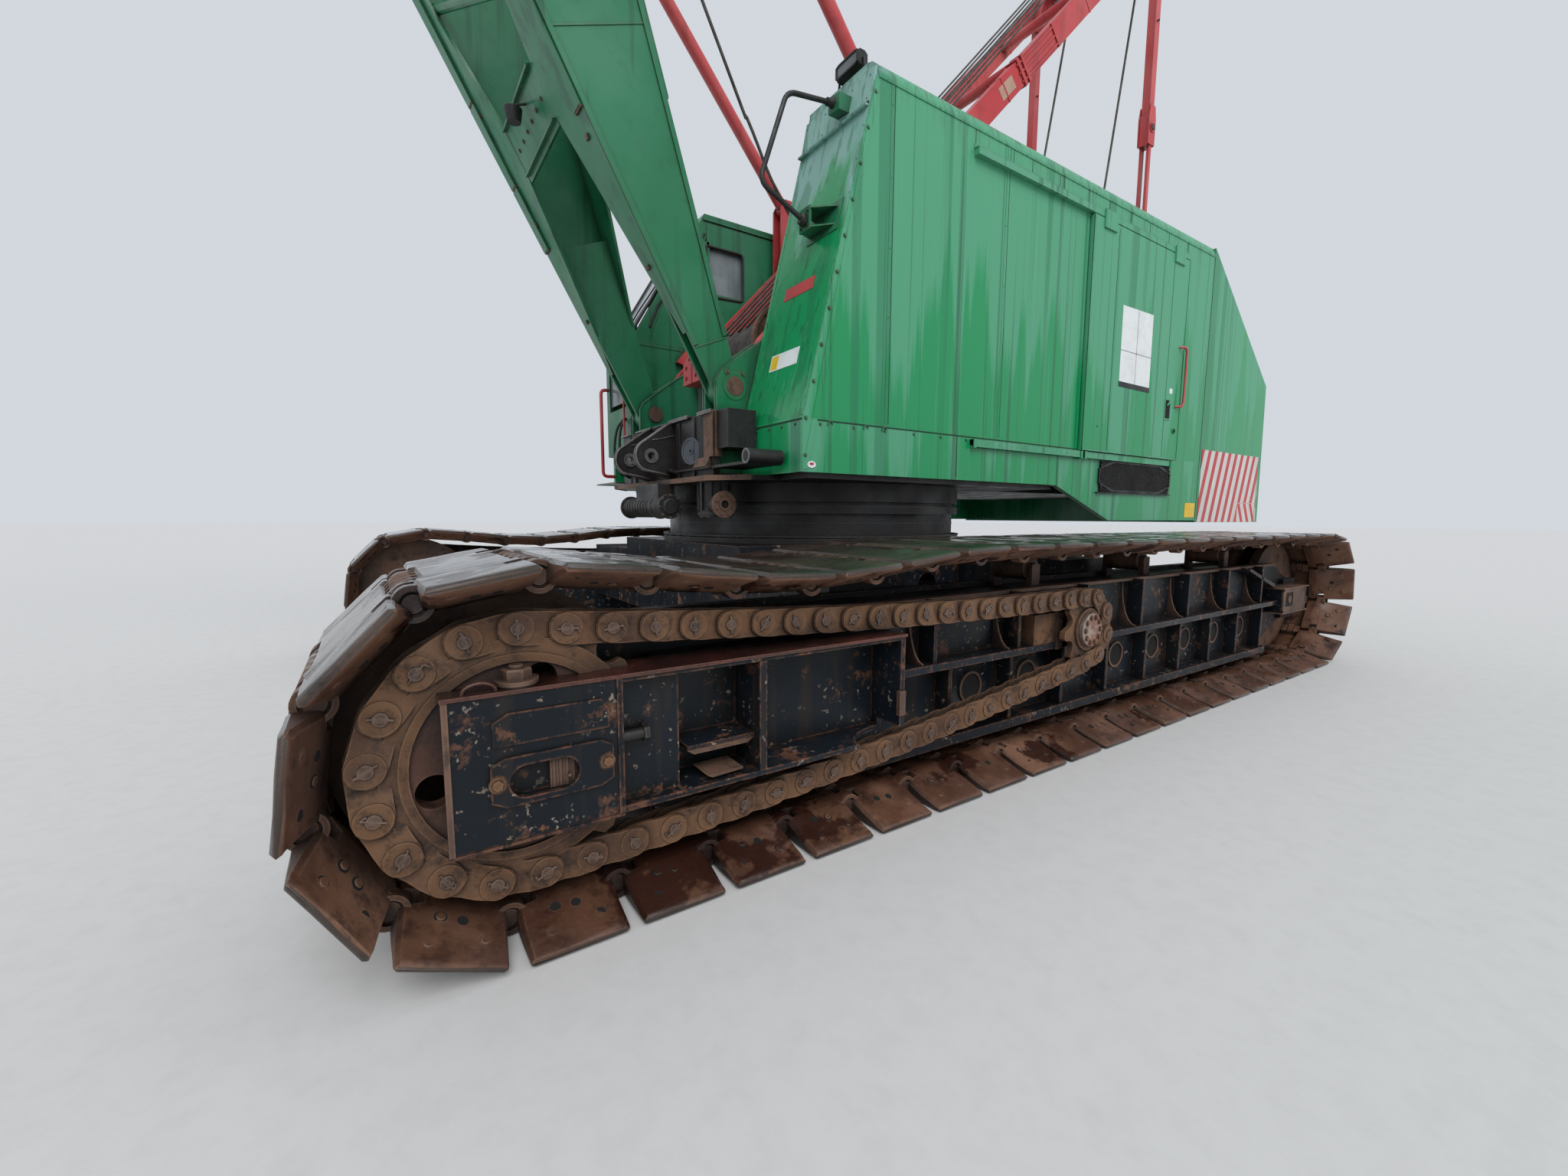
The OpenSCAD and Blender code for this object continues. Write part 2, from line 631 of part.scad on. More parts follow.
module gantry_head() color(red) for (s = [1, -1]) on_side(s) {
    slab(600, leg_y - leg_t - seat_gap) difference() {
        union() {
            translate([apex_x, apex_z]) circle(r = 180, $fn = 48);
            polygon([[apex_x - 120, apex_z - 130], [apex_x + 80, apex_z - 460],
                [apex_x + 330, apex_z - 460], [apex_x + 130, apex_z + 120]]);
        }
        translate([apex_x, apex_z]) circle(r = 50 + pin_gap, $fn = 48);
    }
}

module gantry_straps() color(red) for (s = [1, -1]) on_side(s) {
    clevis_z = roof_z + 1430;
    strap_x = apex_x + 100;
    box([strap_x - 50, 735, clevis_z + 340], [strap_x + 50, 825, apex_z - 330]);
    box([strap_x - 65, 725, clevis_z], [strap_x + 65, 835, clevis_z + 340]);
    for (y = [725, 805]) box([strap_x - 25, y, roof_z - 100], [strap_x + 25, y + 30, clevis_z]);
}

module head_sheaves() color(rust) {
    disc(apex_x, apex_z, 50, -694, 694);
    for (y = [-375:150:375]) disc(apex_x, apex_z, head_sheave_r, y - 30, y + 30, 48);
}

module mirror_arm() color(black) {
    // Bent tube that stands off the house's front face on two brackets
    for (i = [0:len(arm_points) - 2]) tube(arm_points[i], arm_points[i + 1], 17);
    for (i = [1:len(arm_points) - 2]) translate(arm_points[i]) sphere(r = 17, $fn = 16);
    // Brackets that stand on the leaning front face
    for (p = [arm_points[0], arm_points[len(arm_points) - 1]])
        box([front_face(p[2] - 50) + seat_gap, p[1] - 60, p[2] - 50], p + [30, 60, 50]);
}
function front_face(z) = front_x - lean * (z - skirt_z);
arm_points = [[1067, 1350, 3362], [1404, 1350, 3510], [1195, 1350, 4109], [790, 1350, 4172]];

module roof_lamp() color(black) {
    box([590, 1270, roof_top + seat_gap], [650, 1330, roof_z + 110]);
    box([575, 1170, roof_z + 109], [665, 1430, roof_z + 215]);
}

// Cab

cab_x0 = -300;
cab_x1 = 1450;
cab_z0 = 2000;
cab_z1 = 4390;
cab_shoulder = 3000;
cab_top_x = 640;
cab_wall = 45;

module cab_outline() polygon([[cab_x0, cab_z0], [cab_x1, cab_z0], [cab_x1, cab_shoulder],
    [cab_top_x, cab_z1], [cab_x0, cab_z1]]);

module cab_side_window(x1) intersection() {
    offset(delta = -130) cab_outline();
    translate([cab_x0 + 100, 3150]) square([x1 - cab_x0, 1100]);
}

cab_door_x0 = -200;
cab_door_x1 = 620;
cab_door_z0 = 2040;
cab_door_z1 = 4240;

module cab_shell() color(green) difference() {
    union() {
        slab(-wall_y, -cab_y) cab_outline();
        for (z = hinge_z, k = [0, 120]) {
            translate([cab_door_x0, -wall_y - hinge_off, z + k]) cylinder(r = 14, h = 40, $fn = 24);
            box([cab_door_x0 - 60, -wall_y - hinge_off, z + k], [cab_door_x0, -wall_y + 1, z + k + 40]);
        }
    }
    slab(-wall_y + cab_wall, -cab_y - cab_wall) offset(delta = -cab_wall) cab_outline();
    // Window in the inner wall, windshields, rear window and door opening
    slab(-cab_y - cab_wall - 1, -cab_y + 1) cab_side_window(1250);
    slab(-wall_y - 1, -wall_y + cab_wall + 1) translate([700, 3050]) square([420, 560]);
    slab(-wall_y + 90, -cab_y - 90) {
        translate([cab_x1, 2500]) square([200, 460], center = false);
        polygon([[cab_x1 + 60, 3080], [cab_x1 - 120, 3080], [cab_top_x - 120, 4280],
            [cab_top_x + 160, 4280]]);
    }
    slab(-wall_y + 90, -cab_y - 90) translate([cab_x1 - 60, 2450]) square([120, 500]);
    slab(-wall_y + 120, -cab_y - 120) translate([cab_x0 - 10, 3300]) square([100, 800]);
    slab(-wall_y - 1, -wall_y + cab_wall + 1) translate([cab_door_x0, cab_door_z0])
        square([cab_door_x1 - cab_door_x0, cab_door_z1 - cab_door_z0]);
}

module cab_glass() color([0.55, 0.65, 0.68, 0.4]) {
    slab(-cab_y - cab_wall, -cab_y - cab_wall + 12) cab_side_window(1250);
}

module cab_seat() color(black) {
    box([150, -1500, cab_z0 + cab_wall], [450, -1100, 2450]);
    box([50, -1550, 2450], [600, -1050, 2570]);
    box([-20, -1530, 2450], [50, -1070, 3150]);
}

module cab_door() color(green) {
    slab(-wall_y, -wall_y + cab_wall - 3) difference() {
        translate([cab_door_x0 + 8, cab_door_z0 + 8])
            square([cab_door_x1 - cab_door_x0 - 16, cab_door_z1 - cab_door_z0 - 16]);
        translate([cab_door_x0 + 110, 3050]) square([cab_door_x1 - cab_door_x0 - 220, 1050]);
    }
    // Hinge barrels, each between two ears of the cab
    for (z = hinge_z) {
        translate([cab_door_x0, -wall_y - hinge_off, z + 40 + seat_gap])
            cylinder(r = 14, h = 80 - 2 * seat_gap, $fn = 24);
        box([cab_door_x0 + 6, -wall_y - hinge_off, z + 42], [cab_door_x0 + 60, -wall_y + 2, z + 118]);
    }
}
hinge_z = [2250, 3850];
hinge_off = 18;

module house_door() color(green) {
    door_y = wall_y + move_gap + door_t;
    slab(wall_y + move_gap, door_y) translate([door_x0, door_z0])
        square([door_x1 - door_x0, door_z1 - door_z0]);
    // Hangers that run in front of the rail
    for (x = [door_x0 + 150, door_x1 - 350])
        box([x, door_y - 1, door_z1 - 80], [x + 200, door_y + 15, door_z1 + 75]);
}

module hoist_drum() color(rust) {
    axle_end = lug_in - lug_t - seat_gap;
    disc(drum_mid[0], drum_mid[1], 70, -axle_end, axle_end);
    disc(drum_mid[0], drum_mid[1], 270, -500, 500, 64);
    for (y = [-540, 500]) disc(drum_mid[0], drum_mid[1], 350, y, y + 40, 64);
}

// Boom

module in_boom() translate([foot_x, 0, foot_z]) rotate([0, -boom_angle, 0]) children();

// Side plate of the lower section, in the boom's own frame
plate_l = 4300;
module side_plate() difference() {
    union() {
        circle(r = foot_front, $fn = 48);
        polygon([[0, front_z(0)], [plate_l, front_z(plate_l)], [plate_l - 500, front_z(plate_l) + 330],
            [plate_l - 900, 0], [plate_l - 500, rear_z(plate_l) - 330], [plate_l, rear_z(plate_l)],
            [0, rear_z(0)]]);
    }
    circle(r = foot_pin_r + pin_gap, $fn = 64);
}

// A flange plate on the front or rear edge of a leg: it grows wider away from the foot
flange_shape = [[450, 70], [2000, 400], [2250, 400], [3300, 180], [plate_l - 200, chord + 20]];
module flange(z_at, taper, z_in) translate([0, 0, z_at]) rotate([0, taper, 0])
    translate([0, 0, z_in]) linear_extrude(24) polygon(concat(
        [for (q = flange_shape) [q[0], boom_side - q[1]]],
        [[plate_l - 200, boom_side - 5], [450, boom_side - 5]]));

// Block at a chord's end where two sections are pinned together
module joint_block(t0, t1, z) {
    mid = z * (boom_d - chord) / 2;
    box([t0, chord_y - 62, mid - 62], [t1, chord_y + 52, mid + 62]);
}

module boom_butt() color(green) in_boom() {
    for (s = [1, -1]) on_side(s) {
        slab(boom_side - 25, boom_side) side_plate();
        slab(boom_side - foot_w, boom_side - 25) difference() {
            circle(r = foot_front, $fn = 48);
            circle(r = foot_pin_r + pin_gap, $fn = 64);
        }
        slab(boom_side - foot_w, boom_side - foot_w + 25) difference() {
            polygon([[0, front_z(0)], [1500, front_z(1500)], [1500, rear_z(1500)], [0, rear_z(0)]]);
            circle(r = foot_pin_r + pin_gap, $fn = 64);
        }
        flange(-foot_front, taper_front, -2);
        flange(foot_rear, -taper_rear, -22);
        // Chords from the plates to the section's end
        for (z = [-1, 1]) bar([chord_t, chord_y, side_z(chord_t, z)],
            [butt_len - 60, chord_y, side_z(butt_len - 60, z)], chord, chord);
        for (z = [-1, 1]) joint_block(butt_len - 130, butt_len, z);
        // Lacing in the side face
        for (q = [[0, -1, 0.227, 1], [0.264, 1, 0.497, -1], [0.533, -1, 0.755, 1], [0.815, 1, 0.939, -1]])
            tube(butt_pt(q[0], 1, q[1]), butt_pt(q[2], 1, q[3]), lacing_r);
        tube([butt_len - 100, chord_y, side_z(butt_len - 100, -1)],
            [butt_len - 100, chord_y, side_z(butt_len - 100, 1)], lacing_r);
    }
    // Cross plates between the legs on the front and rear faces
    translate([0, 0, -foot_front]) rotate([0, taper_front, 0])
        box([1930, -boom_side + 400, 0], [2290, boom_side - 400, 24]);
    translate([0, 0, foot_rear]) rotate([0, -taper_rear, 0])
        box([2300, -boom_side + 350, -24], [2800, boom_side - 350, 0]);
    // Lacing in the front and rear faces
    for (z = [-1, 1]) {
        for (q = [[2500, 1, 3240, -1], [3360, -1, 4240, 1]])
            tube([q[0], q[1] * chord_y, side_z(q[0], z)], [q[2], q[3] * chord_y, side_z(q[2], z)], lacing_r);
        tube(butt_pt(0.018, 1, z), butt_pt(0.303, -1, z), lacing_r);
        tube(butt_pt(0.364, -1, z), butt_pt(0.755, 1, z), lacing_r);
        for (u = [0.333, 0.788, 0.945]) tube(butt_pt(u, -1, z), butt_pt(u, 1, z), lacing_r);
    }
    // Ears for the backstops
    for (s = [1, -1]) on_side(s) for (y = [stop_y - boom_ear - 12, stop_y + boom_ear]) {
        slab(y, y + 12) translate([stop_t, rear_z(stop_t)]) polygon([[-200, -60], [-60, stop_off + 60],
            [60, stop_off + 60], [200, -60]]);
        disc(stop_t, rear_z(stop_t) + stop_off, 50, y < stop_y ? y - 12 : y + 6, y < stop_y ? y + 6 : y + 24);
    }
}

// Point on a chord of the lower section, at a share of the length from the plates to its end
function butt_pt(u, y, z) = let (t = plate_l + u * (butt_len - plate_l)) [t, y * chord_y, side_z(t, z)];

// Middle of the front (-1) or rear (1) chord at length t of the lower section
chord_t = 2600;
chord_y = boom_side - chord / 2 - 2;
function side_z(t, z) = z < 0
    ? lookup(t, [[chord_t, front_z(chord_t) + chord / 2 + 3], [butt_len, -boom_d / 2 + chord / 2]])
    : lookup(t, [[chord_t, rear_z(chord_t) - chord / 2 - 3], [butt_len, boom_d / 2 - chord / 2]]);

// Upper section: half depth and half width at its stations
tip_start = boom_len - 600;
bend_t = butt_len + 0.5545 * (tip_start - butt_len);
top_shape = [[butt_len, boom_d / 2 - chord / 2, boom_side - chord / 2],
    [bend_t, boom_d / 2 - chord / 2, boom_side - chord / 2], [tip_start, 260, 480]];
function top_z(t, z) = z * lookup(t, [for (q = top_shape) [q[0], q[1]]])
    - (t > bend_t ? 60 * (t - bend_t) / (tip_start - bend_t) : 0);
function top_y(t, y) = y * lookup(t, [for (q = top_shape) [q[0], q[2]]]);
function top_pt(t, y, z) = [t, top_y(t, y), top_z(t, z)];
bay_l = (boom_len - butt_len - 800) / 11;
top_bays = [for (i = [0:11]) butt_len + 100 + i * bay_l];

module boom_top() color(green) in_boom() {
    for (y = [-1, 1], z = [-1, 1]) {
        bar(top_pt(butt_len + 60, y, z), top_pt(bend_t - 10, y, z), chord, chord);
        bar(top_pt(bend_t + 15, y, z), top_pt(tip_start, y, z), chord, chord);
        // Sleeve where the chords bend
        translate(top_pt(bend_t, y, z)) cube([150, chord + 14, chord + 14], center = true);
    }
    for (i = [0:len(top_bays) - 2]) {
        k = i % 2 == 0 ? 1 : -1;
        a = top_bays[i] + 75;
        b = top_bays[i + 1] - 75;
        for (y = [-1, 1]) tube(top_pt(a, y, k), top_pt(b, y, -k), lacing_r, 8);
        for (z = [-1, 1]) tube(top_pt(a, k, z), top_pt(b, -k, z), lacing_r, 8);
    }
    for (t = [butt_len + 60, tip_start - 90]) {
        for (y = [-1, 1]) tube(top_pt(t, y, -1), top_pt(t, y, 1), lacing_r, 8);
        for (z = [-1, 1]) tube(top_pt(t, -1, z), top_pt(t, 1, z), lacing_r, 8);
    }
    for (s = [1, -1], z = [-1, 1]) on_side(s) joint_block(butt_len + seat_gap, butt_len + 130, z);
    // Tip plates that carry the sheaves and the pendants
    for (s = [1, -1]) on_side(s) slab(480, 520) difference() {
        polygon([[tip_start - 100, -420], [boom_len - 100, -420], [boom_len + 120, -260], [boom_len + 120, 0],
            [boom_len, 420], [boom_len - 300, 420], [tip_start - 100, 260]]);
        translate([boom_len, tip_off]) circle(r = 50 + pin_gap, $fn = 48);
        translate([pendant_t, pendant_z]) circle(r = 30 + pin_gap, $fn = 48);
    }
}
tip_off = -200;
tip_sheave_r = 300;

module tip_sheaves() color(rust) in_boom() {
    disc(boom_len, tip_off, 50, -545, 545);
    for (y = [-320, -60, 60, 320]) disc(boom_len, tip_off, tip_sheave_r, y - 25, y + 25, 48);
}

// Hook block under the tip: it hangs on its falls from the sheave's front side
hook_from = boom_pt(boom_len, tip_off);
hook_x = hook_from[0] + tip_sheave_r + 12 + seat_gap;
hook_z = hook_from[1] - 2600;
module hook_block() color(red) {
    for (y = [-60, 60]) tube([hook_x, y, hook_z + 100], [hook_x, y, hook_from[1] - 5], 12, 8);
    for (y = [-150, 110]) box([hook_x - 220, y, hook_z - 100], [hook_x + 220, y + 40, hook_z + 360]);
    disc(hook_x, hook_z + 120, 200, -105, 105);
    box([hook_x - 90, -110, hook_z - 260], [hook_x + 90, 110, hook_z - 80]);
    translate([hook_x, 0, hook_z - 420]) cylinder(r = 45, h = 200, $fn = 32);
    translate([hook_x, 0, hook_z - 550]) rotate([90, 0, 0]) rotate([0, 0, 85])
        rotate_extrude(angle = 300, $fn = 48) translate([130, 0]) circle(r = 42, $fn = 24);
}

module in_pendant() translate([pendant_from[0], 0, pendant_from[1]])
    rotate([0, -pendant_angle, 0]) children();

module pendants() color(rope_grey) in_pendant() {
    for (s = [1, -1]) on_side(s) {
        tube([0, pendant_y, 0], [pendant_l, pendant_y, 0], 25);
        disc(0, 0, 60, pendant_y - 32, pendant_y + 32);
        disc(0, 0, 30, 474, pendant_y);
        disc(pendant_l, 0, 60, pendant_y - 32, pendant_y + 32);
    }
}

// Falls from the gantry's head to the block that the pendants pull
module hoist_falls() color(rope_grey) translate([apex_x, 0, apex_z])
    rotate([0, 180 - pendant_angle, 0]) {
        for (y = [-375:150:375], z = [-1, 1])
            tube([0, y, z * (head_sheave_r + rope_r + seat_gap)], [falls_l + 60, y, z * block_sheave_r],
                rope_r, 8);
        disc(falls_l + 60, 0, 50, -480, 480);
        for (y = [-375:150:375]) disc(falls_l + 60, 0, block_sheave_r, y - 30, y + 30);
        for (y = [-480, 455]) box([falls_l - 120, y, -90], [falls_l + 160, y + 25, 90]);
    }

// Outer tube of a backstop, pinned to the gantry's ears
module backstop_tubes() color(red) translate([stop_low[0], 0, stop_low[1]])
    rotate([0, -stop_angle, 0]) for (s = [1, -1]) on_side(s) difference() {
        union() {
            disc(0, 0, 62, stop_y - stop_ear + seat_gap, stop_y + stop_ear - seat_gap);
            tube([40, stop_y, 0], [stop_tube_l, stop_y, 0], stop_r, 32);
        }
        disc(0, 0, stop_pin_r + pin_gap, 0, 2 * stop_y);
        tube([200, stop_y, 0], [stop_tube_l + 1, stop_y, 0], stop_rod_r + pin_gap, 32);
    }

// Inner rod of a backstop, with the eye that stands between the boom's ears
module backstop_rods() color(red) translate([stop_up[0], 0, stop_up[1]])
    rotate([0, -stop_angle, 0]) for (s = [1, -1]) on_side(s) {
        disc(0, 0, 58, stop_y - boom_ear + 6, stop_y + boom_ear - 6);
        tube([-stop_rod_l, stop_y, 0], [-30, stop_y, 0], stop_rod_r, 32);
    }

carbody();
slewing_base();
side_frame(1);  // side_frame_left
side_frame(-1);  // side_frame_right
chain_bracket(1);  // chain_bracket_left
chain_bracket(-1);  // chain_bracket_right
track(1);  // track_left
track(-1);  // track_right
drum(1, drum_x);  // drive_drum_left
drum(-1, drum_x);  // drive_drum_right
drum(1, idler_x);  // idler_drum_left
drum(-1, idler_x);  // idler_drum_right
rollers(1);  // rollers_left
rollers(-1);  // rollers_right
drive_sprocket(1);  // drive_sprocket_left
drive_sprocket(-1);  // drive_sprocket_right
drive_chain(1);  // drive_chain_left
drive_chain(-1);  // drive_chain_right
small_sprockets();
revolving_frame();
foot_lugs();
nose_frame();
swing_gear();
house_left();
house_front_left();
house_right();
house_roof();
counterweight();
side_grille();
engine();
gantry_legs();
gantry_straps();
gantry_head();
foot_pins();
mirror_arm();
roof_lamp();
cab_shell();
cab_glass();
cab_seat();
door_rail();
house_door();
cab_door();
hoist_drum();
head_sheaves();
boom_butt();
boom_top();
tip_sheaves();
hook_block();
pendants();
hoist_falls();
backstop_tubes();
backstop_rods();
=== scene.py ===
"""Looks of the crawler crane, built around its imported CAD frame. Metres, +X towards the boom."""
import math
import random

import bmesh
import bpy
from mathutils import Matrix, Vector


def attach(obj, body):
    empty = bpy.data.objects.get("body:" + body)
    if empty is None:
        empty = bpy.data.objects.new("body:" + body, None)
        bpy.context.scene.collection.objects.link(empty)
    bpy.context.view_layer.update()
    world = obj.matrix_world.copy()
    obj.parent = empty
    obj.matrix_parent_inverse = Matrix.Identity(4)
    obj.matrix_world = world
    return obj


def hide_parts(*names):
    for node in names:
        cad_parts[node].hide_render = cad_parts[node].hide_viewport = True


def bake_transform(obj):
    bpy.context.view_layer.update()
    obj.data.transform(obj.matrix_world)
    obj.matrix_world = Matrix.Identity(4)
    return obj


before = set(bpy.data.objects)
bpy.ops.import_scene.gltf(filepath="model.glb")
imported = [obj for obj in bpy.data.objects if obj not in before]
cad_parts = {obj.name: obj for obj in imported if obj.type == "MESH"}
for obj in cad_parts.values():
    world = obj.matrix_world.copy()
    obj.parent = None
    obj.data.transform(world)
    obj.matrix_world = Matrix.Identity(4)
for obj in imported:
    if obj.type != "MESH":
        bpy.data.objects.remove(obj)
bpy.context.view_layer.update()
random.seed(7)

# Camera: place, right, down and forward directions, and lens for a 36 mm wide sensor
CAM_AT = (3.590, 4.912, 1.384)
CAM_RIGHT = (-0.83104, 0.55620, 0.00399)
CAM_DOWN = (0.06102, 0.09830, -0.99328)
CAM_FORWARD = (-0.55285, -0.82522, -0.11563)
CAM_LENS = 14.0625


def make_camera():
    data = bpy.data.cameras.new("camera")
    data.lens = CAM_LENS
    data.sensor_width = 36.0
    data.clip_start = 0.02
    data.clip_end = 400.0
    cam = bpy.data.objects.new("camera", data)
    bpy.context.scene.collection.objects.link(cam)
    right, down, forward = Vector(CAM_RIGHT), Vector(CAM_DOWN), Vector(CAM_FORWARD)
    cols = Matrix((right, -down, -forward)).transposed().to_4x4()
    cols.translation = Vector(CAM_AT)
    cam.matrix_world = cols
    bpy.context.scene.camera = cam


make_camera()


# Materials

class Net:
    """Node tree of one material, with a few helpers that wire procedural masks."""

    def __init__(self, name):
        self.mat = bpy.data.materials.new(name)
        self.mat.use_nodes = True
        self.nodes = self.mat.node_tree.nodes
        self.links = self.mat.node_tree.links
        self.nodes.clear()
        out = self.nodes.new("ShaderNodeOutputMaterial")
        self.shader = self.nodes.new("ShaderNodeBsdfPrincipled")
        self.links.new(self.shader.outputs[0], out.inputs[0])
        self.at = self.nodes.new("ShaderNodeTexCoord").outputs["Object"]

    def set(self, socket, value):
        if hasattr(value, "is_linked"):
            self.links.new(value, socket)
        elif isinstance(value, tuple) and len(value) == 3 and len(socket.default_value) == 4:
            socket.default_value = (*value, 1)
        else:
            socket.default_value = value

    def noise(self, scale, detail=4.0, rough=0.55, stretch=None, distort=0.0):
        node = self.nodes.new("ShaderNodeTexNoise")
        node.inputs["Scale"].default_value = scale
        node.inputs["Detail"].default_value = detail
        node.inputs["Roughness"].default_value = rough
        node.inputs["Distortion"].default_value = distort
        at = self.at
        if stretch:
            move = self.nodes.new("ShaderNodeMapping")
            move.inputs["Scale"].default_value = stretch
            self.links.new(self.at, move.inputs["Vector"])
            at = move.outputs["Vector"]
        self.links.new(at, node.inputs["Vector"])
        return node.outputs["Fac"]

    def step(self, value, low, high, to=(0.0, 1.0)):
        node = self.nodes.new("ShaderNodeMapRange")
        self.set(node.inputs["Value"], value)
        for name, number in zip(("From Min", "From Max", "To Min", "To Max"), (low, high, *to)):
            node.inputs[name].default_value = number
        return node.outputs["Result"]

    def math(self, op, a, b=None):
        node = self.nodes.new("ShaderNodeMath")
        node.operation = op
        self.set(node.inputs[0], a)
        if b is not None:
            self.set(node.inputs[1], b)
        return node.outputs[0]

    def mix(self, share, a, b):
        node = self.nodes.new("ShaderNodeMix")
        node.data_type = "RGBA"
        self.set(node.inputs["Factor"], share)
        self.set(node.inputs[6], a)
        self.set(node.inputs[7], b)
        return node.outputs[2]

    def axis(self, name):
        node = self.nodes.new("ShaderNodeSeparateXYZ")
        self.links.new(self.at, node.inputs[0])
        return node.outputs[name]

    def up(self):
        """How far the surface faces upwards, -1 to 1."""
        geo = self.nodes.new("ShaderNodeNewGeometry")
        node = self.nodes.new("ShaderNodeSeparateXYZ")
        self.links.new(geo.outputs["Normal"], node.inputs[0])
        return node.outputs["Z"]

    def edges(self, radius):
        """Mask that is 1 at worn outer and inner edges."""
        geo = self.nodes.new("ShaderNodeNewGeometry")
        bevel = self.nodes.new("ShaderNodeBevel")
        bevel.samples = 4
        bevel.inputs["Radius"].default_value = radius
        dot = self.nodes.new("ShaderNodeVectorMath")
        dot.operation = "DOT_PRODUCT"
        self.links.new(bevel.outputs["Normal"], dot.inputs[0])
        self.links.new(geo.outputs["Normal"], dot.inputs[1])
        return self.step(dot.outputs["Value"], 0.995, 0.90)

    def corner_shade(self, distance):
        """Ambient-occlusion mask that is 1 deep in corners and gaps, for painting shade there."""
        node = self.nodes.new("ShaderNodeAmbientOcclusion")
        node.samples = 4
        node.inputs["Distance"].default_value = distance
        return self.step(node.outputs["AO"], 0.93, 0.45)

    def bump(self, height, strength, distance):
        node = self.nodes.new("ShaderNodeBump")
        node.inputs["Strength"].default_value = strength
        node.inputs["Distance"].default_value = distance
        self.links.new(height, node.inputs["Height"])
        self.links.new(node.outputs["Normal"], self.shader.inputs["Normal"])

    def finish(self, color, rough, metal=0.0, spec=0.5):
        self.set(self.shader.inputs["Base Color"], color)
        self.set(self.shader.inputs["Roughness"], rough)
        self.shader.inputs["Metallic"].default_value = metal
        self.shader.inputs["Specular IOR Level"].default_value = spec
        return self.mat


RUST = (0.17, 0.075, 0.04)
RUST_DARK = (0.055, 0.026, 0.017)


def paint(name, base, faded, stain, wear=RUST, wear_by=0.6, rust_at=0.68, rough=(0.22, 0.5), runs=0.5,
          specks=0.0, spec=0.5):
    """Weathered paint: patches, vertical runs, rust spots, light specks, worn edges, and painted shade in corners."""
    n = Net(name)
    col = n.mix(n.step(n.noise(0.9, 5), 0.38, 0.62), base, faded)
    run = n.step(n.noise(2.6, 3, 0.5, (4.0, 4.0, 0.22)), 0.54, 0.64)
    col = n.mix(n.math("MULTIPLY", run, runs), col, stain)
    grime = n.step(n.noise(7.0, 9, 0.7), 0.55, 0.75)
    col = n.mix(n.math("MULTIPLY", grime, 0.35), col, stain)
    fine = n.noise(26.0, 8, 0.7)
    spots = n.step(n.noise(3.3, 10, 0.75), rust_at, rust_at + 0.03)
    col = n.mix(spots, col, RUST)
    edge = n.math("MULTIPLY", n.edges(0.012), n.step(fine, 0.42, 0.58))
    col = n.mix(n.math("MULTIPLY", edge, wear_by), col, wear)
    if specks:
        chips = n.math("MULTIPLY", n.step(n.noise(30.0, 6, 0.6), 0.62, 0.65), n.step(n.noise(3.0, 4), 0.42, 0.54))
        col = n.mix(n.math("MULTIPLY", chips, specks), col, (0.27, 0.22, 0.17))
        blotch = n.step(n.noise(6.5, 9, 0.7), 0.58, 0.64)
        col = n.mix(n.math("MULTIPLY", blotch, specks), col, (0.135, 0.062, 0.036))
    # Painted shade: near black in corners and gaps, from ambient occlusion
    col = n.mix(n.math("MULTIPLY", n.corner_shade(0.09), 0.70), col, (0.006, 0.005, 0.004))
    shine = n.step(n.noise(2.1, 5), 0.35, 0.65, rough)
    shine = n.math("ADD", shine, n.math("MULTIPLY", spots, 0.3))
    n.bump(n.math("ADD", fine, n.math("MULTIPLY", spots, 0.5)), 0.12, 0.004)
    return n.finish(col, shine, spec=spec)


